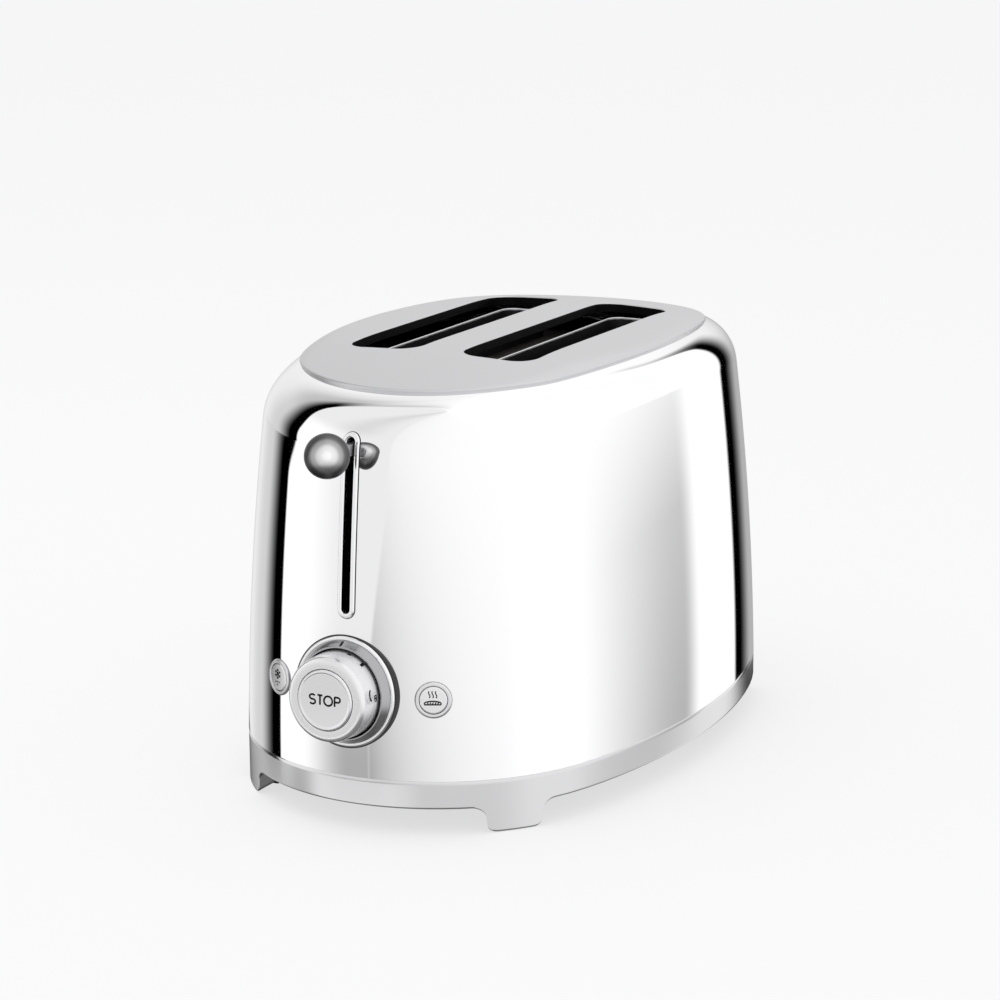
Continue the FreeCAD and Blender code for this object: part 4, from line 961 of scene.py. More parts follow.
# %% Make the top plate
edge_round, lip_round, lip_wall, lip_drop, lip_top = 0.9, 0.6, 0.8, 4.3, 0.4
plate_gap, margin = 0.05, 0.9
outer_ring, outer_way = plate_edge(edge_round)
slots = []
for side in (-1, 1):
    ring, way = round_rectangle(slot_half_width, slot_half_length, slot_corner, grow=lip_round)
    slots.append((ring + [side * slot_centre, slot_middle], way))
across, along = np.meshgrid(np.arange(-76, 77, 2.0), np.arange(-122, 123, 2.5))
flat, flat_faces = fill_pattern(outer_ring, [s[0] for s in slots],
                                np.column_stack([across.ravel(), along.ravel()]), margin)
top, top_normals = plate_points(flat, plate_thickness)
under, under_normals = plate_points(flat, plate_gap)
points = [top, under]
normals = [top_normals, -under_normals]
count = len(flat)
faces = flat_faces + [[i + count for i in reversed(f)] for f in flat_faces]

n = len(outer_ring)
base, base_normal = plate_points(plate_edge(0.0)[0], plate_thickness)
way = np.column_stack([outer_way, np.zeros(n)])
way = way - (way * base_normal).sum(axis=1)[:, None] * base_normal
way /= np.linalg.norm(way, axis=1)[:, None]
rings, ways = rolled_edge(base, base_normal, way, edge_round)
numbers = add_rings(rings + [base - (plate_thickness + 0.1) * base_normal], ways + [way])
faces += strip_faces([list(range(count, count + n))] + numbers[::-1] + [list(range(n))])
first = n
lip_painted_shade = []
for ring, outward in slots:
    m = len(ring)
    into = -np.column_stack([outward, np.zeros(m)])
    edge, edge_normal = plate_points(ring - lip_round * outward, plate_thickness)
    rings, ways = rolled_edge(edge, edge_normal, into, lip_round)
    back = edge - lip_wall * into
    foot, head = [0, 0, lip_drop], [0, 0, plate_thickness + lip_top]
    rings += [edge - foot, back - foot, back - head]
    numbers = add_rings(rings, ways + [into, -into, -into])
    faces += strip_faces([list(range(first, first + m))] + numbers
                         + [list(range(count + first, count + first + m))])
    lip_painted_shade += sum(numbers[3:], [])
    first += m
plate = add_piece("plate", np.concatenate(points), faces, "satin plate", stands_for=["top_plate"],
                  slot="satin_steel", normals=np.concatenate(normals), corner=50.0)
# The lip walls inside the slots get painted shade: they are marked to turn almost black.
mark_points(plate, "painted shade side", lip_painted_shade)

# %% [markdown]
# ## The skirt and its legs
# The skirt is a cast ring: a thin band above, a ledge inside it, and four legs. Its cross
# section is drawn once and carried round the oval. Only the height of its underside changes:
# low under a leg, high in an arch, and on an arc between the two. Columns of points stand
# along the arches' own lines, so the legs' edges come out sharp.

# %% Columns round the skirt
foot_height, leg_ground, ledge_top, band_wall, leg_depth = 12.5, 0.2, 14.0, 2.6, 12.0
end_arch, side_arch, leg_reach = 51.5, 107.4, 9.2
hollow, toe, lean = 5.5, 3.4, 4.6
hem = 1.0
window_half, window_low, window_high = 50.4, 15.35, 22.1


def leg_curve(start):
    """Distance and height of the underside from an arch's top, at start, down to a leg's foot."""
    curve = [(start + hollow * math.cos(t), foot_height - hollow + hollow * math.sin(t))
             for t in np.radians(np.linspace(90, lean, 12))]
    curve += [(start + leg_reach + toe * math.cos(t), leg_ground + toe + toe * math.sin(t))
              for t in np.radians(np.linspace(180 + lean, 270, 9))]
    return curve


def quarter_columns():
    """One quarter of the columns: how each is placed, and the height of the underside there."""
    columns = [("x", x, foot_height) for x in (0, 6, 12, 18, 24, 30, 36, 42, 47, window_half)]
    columns += [("x", x, z) for x, z in leg_curve(end_arch)]
    columns += [("leg", share, leg_ground) for share in np.linspace(0, 1, 15)[1:-1]]
    columns += [("y", y, z) for y, z in leg_curve(side_arch)[::-1]]
    return columns + [("y", y, foot_height) for y in (100, 90, 80, 70, 60, 50, 40, 30, 20, 10, 0)]


def skirt_ring(inset):
    """x, y points of one ring of the skirt, drawn in by inset, round from the lever end."""
    turn = facing_table[(facing_table >= 0) & (facing_table <= math.pi / 2)]
    x, y, nx, ny, _ = outline_at(turn)
    x, y = x - inset * nx, -(y - inset * ny)
    quarter = []
    at_x = np.interp(end_arch + leg_reach, x, turn)
    at_y = np.interp(side_arch + leg_reach, y[::-1], turn[::-1])
    for kind, value, _ in quarter_columns():
        if kind == "x":
            angle = np.interp(value, x, turn)
        elif kind == "leg":
            angle = at_x + value * (at_y - at_x)
        else:
            angle = np.interp(value, y[::-1], turn[::-1])
        quarter.append((np.interp(angle, turn, x), -np.interp(angle, turn, y)))
    right = quarter + [(a, -b) for a, b in quarter[-2::-1]]
    left = [(-a, b) for a, b in right[-2:0:-1]]
    return np.array(right + left)


heights = [c[2] for c in quarter_columns()]
right = heights + heights[-2::-1]
underside = np.array(right + right[-2:0:-1])
across_of = [c[1] if c[0] == "x" else 999.0 for c in quarter_columns()]
at_back = np.zeros(len(underside), bool)
half_round = len(right) - 1
for k, value in enumerate(across_of):
    if value <= window_half:
        at_back[half_round - k] = at_back[(half_round + k) % len(underside)] = True
print("skirt columns:", len(underside), "of which at the tray:", int(at_back.sum()))

# %% Make the skirt
# Each corner of the section: how far in, what its height is measured from, and the height.
profile = [(0.45, "ground", skirt_top), (0.12, "ground", skirt_top - 0.1),
           (0.0, "ground", skirt_top - 0.4), (0.0, "ground", window_high),
           (0.0, "ground", window_low), (0.0, "hem", 1.2), (0.0, "hem", 0.7), (0.2, "hem", 0.2),
           (0.7, "hem", 0.0), (band_wall - 0.3, "hem", 0.0), (band_wall, "foot", 0.0),
           (leg_depth - 0.5, "foot", 0.0), (leg_depth, "foot", 0.5),
           (leg_depth, "ground", ledge_top), (band_wall, "ground", ledge_top),
           (band_wall, "ground", window_low),
           (band_wall, "ground", window_high), (band_wall, "ground", skirt_top)]
outer_window, painted_shade_from, inner_window = 3, 8, 15
points, faces = [], []
around = len(underside)
hem_drop = hem * (underside - leg_ground) / (foot_height - leg_ground)
for inset, kind, z in profile:
    level = np.full(around, z) if kind == "ground" else underside + z
    if kind == "hem":
        level = level - hem_drop
    points.append(np.column_stack([skirt_ring(inset), level]))
for row in range(len(profile)):
    below = (row + 1) % len(profile)
    for k in range(around):
        right = (k + 1) % around
        if row in (outer_window, inner_window) and at_back[k] and at_back[right]:
            continue
        faces.append([row * around + k, below * around + k, below * around + right,
                      row * around + right])
partner = {outer_window: inner_window + 1, outer_window + 1: inner_window}
for a, b in open_edges(faces):
    row_a, k_a = divmod(a, around)
    row_b, k_b = divmod(b, around)
    if row_a in partner and row_b in partner:
        faces.append([b, a, partner[row_a] * around + k_a, partner[row_b] * around + k_b])
skirt = add_piece("skirt", np.concatenate(points), faces, "satin casting",
                  stands_for=["base_skirt"], slot="satin_casting", corner=24.0)
# The skirt's underside, the legs' inner sides and the inner faces get painted shade: they are
# marked to turn a darker grey.
mark_points(skirt, "painted shade side", range(painted_shade_from * around, len(profile) * around))

# %% [markdown]
# ## The raised rim of the lever slot
# A narrow bright moulding runs round the lever slot. Its rounded section is carried round the
# slot's outline, and follows the casing, which is curved both ways there.

# %% Tools for pieces made of rings
def ring_piece(name, rings, finish, flip=False, **options):
    """A closed piece through rings of points, each ring as long as the next."""
    count = len(rings[0])
    numbers = [list(range(i * count, (i + 1) * count)) for i in range(len(rings))]
    faces = strip_faces(numbers + numbers[:1])
    return add_piece(name, np.concatenate(rings), [f[::-1] for f in faces] if flip else faces,
                     finish, **options)


def round_the_slot(section):
    """Rings that carry a section round the lever slot. Its across 0 is the slot's middle."""
    rings = []
    for across, out in section:
        moved = outline + (across - rim_half) * outward
        placed = front_place(moved[:, 0], moved[:, 1])
        rings.append(casing_point(placed[:, 0], placed[:, 1], out)[0])
    return rings


# %% Make the slot rim and the black band round it, painted shade at its edge
rim_half, rim_inner, rim_proud, rim_deep, r = 4.1, 1.95, 1.2, 1.9, 0.8
outline, outward = stadium(rim_half, 92.9, 171.8, arc=28, side=48)
curve = [(r * math.cos(t), rim_proud - r + r * math.sin(t))
         for t in np.radians(np.linspace(0, 90, 7))]
rim_section = ([(rim_half, -rim_deep)] + [(rim_half - r + x, z) for x, z in curve]
               + [(rim_inner + r - x, z) for x, z in curve[::-1]] + [(rim_inner, -rim_deep)])
ring_piece("lever_slot_rim", round_the_slot(rim_section), "bright trim", flip=True,
           stands_for=["slot_rim"], slot="mirror_steel", corner=50.0)
# A thin black band fills the gap between the rim and the casing's hole: painted shade, a dark line
# round the rim.
shade_line_half, shade_line_proud, shade_line_deep = 4.42, 0.05, 1.8
shade_line_section = [(rim_half, -shade_line_deep), (rim_half, shade_line_proud), (shade_line_half, shade_line_proud),
                (shade_line_half, -shade_line_deep)]
ring_piece("lever_slot_seal", round_the_slot(shade_line_section), "black moulding", slot="black_plastic",
           corner=50.0)

# %% [markdown]
# ## Turned parts
# The dial, its ring, the buttons and the ball are all turned. Each is drawn as half a section,
# with every corner softened by a small arc, because a real edge always catches some light.

# %% Tools for turned parts
def soften(corners, radius, steps=5, closed=True):
    """Round off the corners of a section. radius is a number, or one for each corner."""
    corners = [np.array(c, float) for c in corners]
    radii = [radius] * len(corners) if np.isscalar(radius) else radius
    out = []
    for i, here in enumerate(corners):
        if not closed and i in (0, len(corners) - 1):
            out.append(here)
            continue
        before, after = corners[i - 1], corners[(i + 1) % len(corners)]
        to_before, to_after = before - here, after - here
        reach = min(radii[i], np.linalg.norm(to_before) * 0.48, np.linalg.norm(to_after) * 0.48)
        if reach < 1e-6:
            out.append(here)
            continue
        start = here + to_before / np.linalg.norm(to_before) * reach
        end = here + to_after / np.linalg.norm(to_after) * reach
        for t in np.linspace(0, 1, steps):
            out.append((1 - t) ** 2 * start + 2 * t * (1 - t) * here + t * t * end)
    return np.array(out)


def turned(section, segments):
    """Points and faces of a section spun about its axis. Points on the axis are shared."""
    section = np.array(section)
    x, y = section.T
    if (x * np.roll(y, -1) - np.roll(x, -1) * y).sum() < 0:
        section = section[::-1]
    points, rings = [], []
    for radius, height in section:
        if radius < 1e-6:
            rings.append([len(points)] * segments)
            points.append((0, 0, height))
        else:
            rings.append(list(range(len(points), len(points) + segments)))
            points += [(x, y, height) for x, y in circle(radius, segments)]
    faces = []
    on_axis = section[0][0] < 1e-6 and section[-1][0] < 1e-6
    for a, b in zip(rings, rings[1:] + ([] if on_axis else [rings[0]])):
        for i in range(segments):
            j = (i + 1) % segments
            face = []
            for p in (a[i], a[j], b[j], b[i]):
                if p not in face:
                    face.append(p)
            if len(face) > 2:
                faces.append(face)
    return np.array(points), faces


def turned_piece(name, place, section, finish, segments, **options):
    """Spin a section about a seat's Z axis and make a piece of it."""
    points, faces = turned(section, segments)
    return add_piece(name, from_seat(place, points), faces, finish, **options)


# %% The dial's collar, its lip and a black ring round it, painted shade in the gap
# Sections are radius and height over the wall, in millimetres, and then a radius for each corner.
collar_section = soften([(19.75, -7.0), (19.75, 4.5), (20.5, 4.5), (21.4, 2.6), (22.5, 0.9),
                         (22.5, -7.0)], [0.2, 0.25, 0.3, 0.8, 0.2, 0.2], steps=8)
turned_piece("dial_collar", dial_seat, collar_section, "dial metal", 192,
             stands_for=["dial_ring"], slot="mirror_steel", corner=40.0)
lip_section = soften([(22.5, -6.9), (22.5, 0.95), (23.6, 0.95), (24.25, 0.3), (24.25, -6.9)],
                     [0.1, 0.3, 0.5, 0.3, 0.1], steps=6)
turned_piece("dial_lip", dial_seat, lip_section, "bright trim", 192, slot="mirror_steel",
             corner=40.0)
# A black ring fills the gap between the lip and the casing's hole: painted shade, a dark line round
# the dial.
gap_ring = soften([(24.25, -6.8), (24.25, 0.1), (dial_hole, 0.1), (dial_hole, -6.8)], 0.05)
turned_piece("dial_gasket", dial_seat, gap_ring, "black moulding", 192, slot="black_plastic")

# %% The knob and the stop button
knob_section = soften([(3.05, 7.5), (13.45, 7.5), (13.45, 17.0), (18.45, 17.0), (19.35, -2.7),
                       (17.2, -2.7), (17.2, 2.5), (5.0, 2.5), (5.0, -29.5), (3.05, -29.5)],
                      [0.2, 0.3, 0.35, 3.2, 0.4, 0.3, 0.5, 0.5, 0.2, 0.2], steps=9)
turned_piece("knob_body", dial_seat, knob_section, "silver plastic", 192, body="knob",
             stands_for=["browning_knob"], slot="silver_plastic", corner=40.0)
stop_section = soften([(0, 17.35), (11.6, 17.4), (12.1, 17.65), (12.7, 17.65), (13.25, 17.0),
                       (13.25, 13.4), (3.0, 13.4), (3.0, -30.0), (0, -30.0)],
                      [0, 0.6, 0.4, 0.4, 0.4, 0.3, 0.3, 0.2, 0], steps=6, closed=False)
turned_piece("stop_cap", dial_seat, stop_section, "silver plastic", 160, body="stop",
             stands_for=["stop_button"], slot="silver_plastic", corner=40.0)

# %% The side buttons and their bezels
for word, place in (("reheat", reheat_seat), ("defrost", defrost_seat)):
    bezel = soften([(6.2, -13.0), (6.2, 0.75), (7.35, 0.75), (7.85, 0.35), (7.85, -2.6),
                    (7.2, -2.6), (7.2, -13.0)], [0.2, 0.2, 0.4, 0.4, 0.1, 0.1, 0.2])
    turned_piece(word + "_trim", place, bezel, "button trim", 128, stands_for=[word + "_bezel"],
                 slot="mirror_steel", corner=40.0)
    gap_ring = soften([(7.85, -2.6), (7.85, 0.1), (button_hole, 0.1), (button_hole, -2.6)], 0.05)
    turned_piece(word + "_gasket", place, gap_ring, "rolled steel", 128, slot="black_plastic")
    cap = soften([(0, 0.62), (5.6, 0.7), (6.05, 0.3), (6.05, -6.0), (2.4, -6.0), (2.4, -11.2),
                  (0, -11.2)], [0, 0.5, 0.5, 0.3, 0.3, 0.2, 0], closed=False)
    turned_piece(word + "_cap", place, cap, "silver plastic", 96, body=word,
                 stands_for=[word + "_button"], slot="silver_plastic", corner=40.0)

# %% [markdown]
# ## Printed marks
# The stop button says what it does, the two side buttons carry a small picture each, and the
# knob has a few marks round its flank that are read against one on its collar. They are pad
# printed: a film of ink on a finished surface. Each stroke is a very thin solid, a little sunk
# in, whose path is drawn flat and then laid on the surface that carries it.

# %% A line of ink
ink_sunk, ink_proud = 0.12, 0.03


def add_mark(name, paths, widths, lay, body):
    """Ink strokes along flat paths, and lay gives points and normals on the surface.

    A path that ends where it starts is closed.
    """
    points, faces = [], []
    for path, width in zip(paths, widths):
        path = np.array(path, float)
        closed = np.linalg.norm(path[0] - path[-1]) < 1e-6
        if closed:
            path = path[:-1]
            ahead = np.roll(path, -1, axis=0) - np.roll(path, 1, axis=0)
        else:
            ahead = np.gradient(path, axis=0)
        ahead /= np.linalg.norm(ahead, axis=1)[:, None]
        side = np.column_stack([-ahead[:, 1], ahead[:, 0]]) * width / 2
        first, n = len(points), len(path)
        for edge in (path + side, path - side):
            on, normal = lay(edge)
            points += list(on + ink_proud * normal) + list(on - ink_sunk * normal)
        left, left_low, right, right_low = [[first + i * n + k for k in range(n)] for i in range(4)]
        for k in range(n if closed else n - 1):
            j = (k + 1) % n
            faces += [[right[k], right[j], left[j], left[k]],
                      [left_low[k], left_low[j], right_low[j], right_low[k]],
                      [left[k], left[j], left_low[j], left_low[k]],
                      [right[j], right[k], right_low[k], right_low[j]]]
        if not closed:
            faces += [[left[0], left_low[0], right_low[0], right[0]],
                      [left[-1], right[-1], right_low[-1], left_low[-1]]]
    return add_piece(name, points, faces, "printed black", body=body, slot="black_plastic")


def arc(x, y, across, up, start, end, count=17):
    """Points on an arc of an ellipse, in degrees."""
    turns = np.radians(np.linspace(start, end, count))
    return [(x + across * math.cos(t), y + up * math.sin(t)) for t in turns]


def on_cap(place, height):
    """Lays flat points on a button's face."""
    return lambda xy: (from_seat(place, np.column_stack([xy, np.full(len(xy), height)])),
                       np.tile(place[3], (len(xy), 1)))


# %% The word on the stop button
bend, tall = 1.02, 2.08
letters = [arc(-5.65, bend, 1.4, 1.03, 35, 270) + arc(-5.65, -bend, 1.4, 1.03, 90, -145)[1:],
           [(-3.2, tall), (-0.75, tall)], [(-1.98, tall), (-1.98, -tall)],
           arc(2.0, 0.0, 2.05, 2.05, 0, 360, 33),
           [(5.15, -tall), (5.15, tall)],
           [(5.15, tall), (6.7, tall)] + arc(6.7, tall - 1.08, 1.1, 1.08, 90, -90)[1:]
           + [(5.15, tall - 2.16)]]
letters = [[(x - 0.15, y) for x, y in path] for path in letters]
add_mark("stop_word", letters, [0.84] * len(letters), on_cap(dial_seat, 17.39), "stop")

# %% Pictures on the side buttons: a warm bun and a snowflake
face_height = 0.66
steam = [[(x + 0.3 * math.sin(t * 6.0), 1.0 + 3.0 * t) for t in np.linspace(0, 1, 13)]
         for x in (-1.75, -0.3, 1.15)]
bun = [(-0.3 + 3.6 * math.cos(t), -1.9 + 1.5 * math.sin(t) ** 0.6)
       for t in np.linspace(0, math.pi, 25)]
crust = [[(x, -1.6), (x + 0.4, -0.9)] for x in (-2.6, -1.5, -0.4, 0.7, 1.8)]
add_mark("reheat_picture", steam + [bun + bun[:1]] + crust, [0.48] * 3 + [0.6] + [0.5] * 5,
         on_cap(reheat_seat, face_height), "reheat")


def ray(angle, length):
    """A flat step of this length, in a direction in radians."""
    return length * np.array([math.cos(angle), math.sin(angle)])


middle = np.array([-0.5, 1.4])
flake = [[middle - ray(t, 2.3), middle + ray(t, 2.3)] for t in np.radians([90, 30, -30])]
for t in np.radians(range(30, 390, 60)):
    tip = middle + ray(t, 1.4)
    flake += [[tip, tip + ray(t + barb, 0.8)] for barb in (-0.8, 0.8)]
drops = [[(middle[0] + x, y), (middle[0] + x, y - 0.55)]
         for x, y in ((-1.3, -1.9), (0.0, -1.9), (1.3, -1.9), (0.0, -3.1))]
add_mark("defrost_picture", flake + drops, [0.6] * len(flake) + [0.75] * len(drops),
         on_cap(defrost_seat, face_height), "defrost")


# %% Marks round the knob, and the one on the collar
face_radius, face_top, flank_spread, flank_drop, flank_slope = 18.45, 17.0, 0.9, 19.7, 0.0457
mark_radius = 19.0


def on_flank(round_at):
    """Lays points on the knob's flank: x runs round it from a direction in degrees, y out."""
    def lay(xy):
        radius = face_radius + (face_top - xy[:, 1]) * flank_spread / flank_drop
        turned_by = math.radians(round_at) + xy[:, 0] / mark_radius
        way = np.column_stack([np.cos(turned_by), np.sin(turned_by), np.full(len(xy), flank_slope)])
        local = np.column_stack([radius * way[:, 0], radius * way[:, 1], xy[:, 1]])
        tilt = way / np.linalg.norm(way, axis=1)[:, None]
        return from_seat(dial_seat, local), from_seat(dial_seat, tilt) - dial_seat[0]
    return lay


star = [[(-1.2, 6.2), (1.2, 7.8)], [(-1.2, 7.8), (1.2, 6.2)], [(-1.5, 7.0), (1.5, 7.0)],
        [(0, 5.9), (0, 8.1)]]
for number, (round_at, paths, width) in enumerate((
        (73.5, [[(-0.9, 6.0), (0.9, 6.0)]], 1.3),
        (51.0, [[(0.2, 5.0), (0.0, 6.3), (-0.2, 7.9)]], 1.5),
        (9.0, [arc(0, 9.2, 2.6, 2.0, 155, 25)], 0.9), (3.5, star, 0.7)), start=1):
    add_mark("knob_mark_%d" % number, paths, [width] * len(paths), on_flank(round_at), "knob")


def on_collar(xy):
    """Lays points on the collar's cone: x runs round from the top, y is the share of its height."""
    radius, height = 22.25 - 1.65 * xy[:, 1], 1.3 + 2.95 * xy[:, 1]
    turned_by = math.radians(90.9) + xy[:, 0] / 21.5
    way = np.column_stack([np.cos(turned_by), np.sin(turned_by)])
    tilt = np.column_stack([3.0 * way, np.full(len(xy), 1.6)]) / 3.4
    local = np.column_stack([radius[:, None] * way, height])
    return from_seat(dial_seat, local), from_seat(dial_seat, tilt) - dial_seat[0]


add_mark("collar_mark", [[(0, 0.02), (0, 0.5), (0, 0.98)]], [1.0], on_collar, "housing")

# %% [markdown]
# ## The lever and its ball
# A steel blade comes out through the slot and ends in a collar, and the ball is pressed onto
# it. The ball is spun about the lever's own direction, with a small flat where the collar
# enters it.

# %% Make the ball
lever_height, ball_forward, ball_lift, ball_radius, ball_flat = 164.9, 164.0, 1.0, 9.6, 4.4
lever_seat = np.array([[0.0, 0.0, lever_height],
                       [1.0, 0.0, 0.0], [0.0, 0.0, 1.0], [0.0, -1.0, 0.0]])
ball_seat = np.array([[0.0, -ball_forward, lever_height + ball_lift], *lever_seat[1:]])
flat = math.asin(ball_flat / ball_radius)
ball_section = [(ball_radius * math.sin(t), ball_radius * math.cos(t))
                for t in np.linspace(0, math.pi - flat, 65)]
ball_section[0] = (0, ball_radius)
ball_section.append((0, -ball_radius * math.cos(flat)))
turned_piece("ball", ball_seat, ball_section, "ball steel", 128, body="lever",
             stands_for=["lever_ball"], slot="mirror_steel")

# %% Make the blade and its collar
collar = soften([(0, 157.4), (3.2, 157.4), (3.2, 153.2), (2.6, 153.2), (0, 153.2)],
                [0, 0.3, 0.3, 0.1, 0], closed=False)
points, faces = turned(collar, 64)
points = from_seat(lever_seat, points)
blade = soften([(-1.5, -2.6), (1.5, -2.6), (1.5, 2.6), (-1.5, 2.6)], 0.5, steps=4)
ends = [from_seat(lever_seat, np.column_stack([blade, np.full(len(blade), out)]))
        for out in (153.4, 92.0)]
first, many = len(points), len(blade)
near = list(range(first, first + many))
far = list(range(first + many, first + 2 * many))
faces += [near, far[::-1]] + strip_faces([far, near])
add_piece("lever_blade", np.concatenate([points] + ends), faces, "rolled steel", body="lever",
          stands_for=["lever_arm"], slot="mirror_steel", corner=40.0)

# %% [markdown]
# ## Liners inside the slots
# Each slot has a dark steel chute, set a little below the plate. Only its rolled top edge is
# bright: a painted highlight, colour that turns bright above a set height.

# %% Make the liners
liner_low, liner_high, liner_wall = 175.8, 187.3, 0.8
liner_section = soften([(0.0, liner_low), (0.0, liner_high), (liner_wall, liner_high),
                        (liner_wall, liner_low)], [0.1, 0.4, 0.4, 0.1], steps=4)
for word, side in (("left", -1), ("right", 1)):
    outline, outward = round_rectangle(10.4, 69.0, 6.0)
    outline = outline + [side * slot_centre, slot_middle]
    rings = [np.column_stack([outline + out * outward, np.full(len(outline), z)])
             for out, z in liner_section]
    ring_piece("liner_" + word, rings, "slot liner", stands_for=["slot_liner_" + word],
               slot="dark_steel", corner=50.0)

# %% [markdown]
# ## Parts that repeat or follow a path
# Inside there are wires, ribbons and windings, and underneath there are screws and pads. Each
# kind is one Geometry Nodes tree: a profile swept along a curve, or one shape set on points.
# The tree's sizes are named inputs. What a run makes is kept as a plain mesh.

# %% Tools for Geometry Nodes
def new_tree(name, **sizes):
    """A tree with one geometry output and a named input for each size, and the sizes' sockets."""
    tree = bpy.data.node_groups.new(name, "GeometryNodeTree")
    tree.interface.new_socket("Geometry", in_out="OUTPUT", socket_type="NodeSocketGeometry")
    for label, value in sizes.items():
        kind = "NodeSocketInt" if isinstance(value, int) else "NodeSocketFloat"
        tree.interface.new_socket(label, in_out="INPUT", socket_type=kind)
    return tree, tree.nodes.new("NodeGroupInput").outputs


def vector(tree, x=0.0, y=0.0, z=0.0):
    """A vector of three numbers or outputs."""
    return step(tree, "ShaderNodeCombineXYZ", {0: x, 1: y, 2: z})


def maths(tree, operation, a, b=0.0):
    """One step of arithmetic in a tree."""
    return step(tree, "ShaderNodeMath", {0: a, 1: b}, operation=operation)


def spread(tree, shape, count, start, offset):
    """The same shape on evenly spaced points of a line."""
    line = step(tree, "MeshLine", {"Count": count, "Start Location": start, "Offset": offset})
    return step(tree, "InstanceOnPoints", {"Points": line, "Instance": shape})


def wire(tree, curve, radius, around=10):
    """A round profile swept along a curve, with closed ends."""
    ring = step(tree, "CurvePrimitiveCircle", {"Resolution": around, "Radius": radius})
    return step(tree, "CurveToMesh", {"Curve": curve, "Profile Curve": ring, "Fill Caps": True})


def close_tree(tree, shapes, finish):
    """Join the shapes, give them a finish and send them to the tree's output."""
    joined = step(tree, "JoinGeometry", {0: shapes})
    real = step(tree, "RealizeInstances", {0: joined})
    done = step(tree, "SetMaterial", {"Geometry": real, "Material": materials[finish]})
    tree.links.new(done, tree.nodes.new("NodeGroupOutput").inputs[0])


def grow(name, tree, sizes, finish, **options):
    """Run a tree with these sizes and keep what it makes as a plain piece."""
    maker = new_object(name + "_maker", bpy.data.meshes.new(name + "_maker"))
    modifier = maker.modifiers.new("grow", "NODES")
    modifier.node_group = tree
    for item in tree.interface.items_tree:
        if item.item_type == "SOCKET" and item.in_out == "INPUT":
            modifier[item.identifier] = sizes[item.name]
    bpy.context.view_layer.update()
    graph = bpy.context.evaluated_depsgraph_get()
    mesh = bpy.data.meshes.new_from_object(maker.evaluated_get(graph))
    bpy.data.objects.remove(maker)
    points = [tuple(v.co) for v in mesh.vertices]
    faces = [list(f.vertices) for f in mesh.polygons]
    bpy.data.meshes.remove(mesh)
    return add_piece(name, points, faces, finish, **options)


# %% [markdown]
# ## The bread guides
# A guide is a cage of wires that leans against the bread. On the real one, upright wires are
# spot welded to a bent frame. Here the frame is a rounded rectangle swept with a round
# profile, and the uprights are one wire set on evenly spaced points.

# %% Grow the guides
guide_sizes = {"Across": 0.0, "Bars": 7, "Pitch": 19.575, "Front": -74.3, "Rear": 82.3,
               "Low": 46.0, "High": 168.0, "Bar": 0.7, "Frame": 0.9, "Bend": 6.0, "Pin": 3.6}
pin_front, pins_apart = -76.9, 161.8
tree, size = new_tree("bread guide", **guide_sizes)
tall = maths(tree, "SUBTRACT", size["High"], size["Low"])
level = maths(tree, "MULTIPLY", maths(tree, "ADD", size["High"], size["Low"]), 0.5)
bar = step(tree, "MeshCylinder", {"Vertices": 10, "Radius": size["Bar"], "Depth": tall})
first_bar = vector(tree, size["Across"], maths(tree, "ADD", size["Front"], size["Pitch"]), level)
bars = spread(tree, bar, size["Bars"], first_bar, vector(tree, 0.0, size["Pitch"]))
long = maths(tree, "SUBTRACT", size["Rear"], size["Front"])
middle = maths(tree, "MULTIPLY", maths(tree, "ADD", size["Rear"], size["Front"]), 0.5)
loop = step(tree, "CurvePrimitiveQuadrilateral", {"Width": long, "Height": tall})
loop = step(tree, "FilletCurve", {"Curve": loop, "Radius": size["Bend"], "Count": 6}, mode="POLY")
loop = step(tree, "Transform", {"Geometry": loop, "Rotation": (math.pi / 2, 0.0, math.pi / 2),
                                "Translation": vector(tree, size["Across"], middle, level)})
pin = step(tree, "MeshCylinder", {"Vertices": 12, "Radius": size["Frame"], "Depth": size["Pin"]})
pin = step(tree, "Transform", {"Geometry": pin, "Rotation": (math.pi / 2, 0.0, 0.0)})
pins = spread(tree, pin, 2, vector(tree, size["Across"], pin_front, size["Low"]),
              vector(tree, 0.0, pins_apart))
close_tree(tree, [bars, wire(tree, loop, size["Frame"]), pins], "bright trim")
for number, across in enumerate((-40.8, -15.8, 15.8, 40.8), start=1):
    grow("guide_wires_%d" % number, tree, {**guide_sizes, "Across": across}, "bright trim",
         body="guide_%d" % number, stands_for=["bread_guide_%d" % number],
         slot="inner_steel", corner=50.0)

# %% [markdown]
# ## Heater ribbons
# Flat resistance ribbon is wound to and fro on each mica board. It is never quite straight, so
# every row carries a slight wave, and short links join the rows' ends in turn.

# %% Grow the ribbons
ribbon_sizes = {"Rows": 8, "Pitch": 14.857, "Low": 53.0, "Front": -70.0, "Rear": 78.0,
                "Thick": 0.25, "Wide": 2.0, "Wave": 0.1, "Inner": 11.6, "Outer": 45.0}
tree, size = new_tree("heater ribbons", **ribbon_sizes)
row = step(tree, "CurvePrimitiveLine", {"Start": vector(tree, 0.0, size["Front"]),
                                        "End": vector(tree, 0.0, size["Rear"])})
row = step(tree, "ResampleCurve", {"Curve": row, "Count": 60})
place = step(tree, "ShaderNodeSeparateXYZ", {0: step(tree, "InputPosition", {})}, out=1)
wave = maths(tree, "SINE", maths(tree, "MULTIPLY", place, 0.55))
wave = maths(tree, "MULTIPLY", wave, size["Wave"])
row = step(tree, "SetPosition", {"Geometry": row, "Offset": vector(tree, wave)})
flat_profile = step(tree, "CurvePrimitiveQuadrilateral", {"Width": size["Thick"],
                                                          "Height": size["Wide"]})
row = step(tree, "CurveToMesh", {"Curve": row, "Profile Curve": flat_profile, "Fill Caps": True})
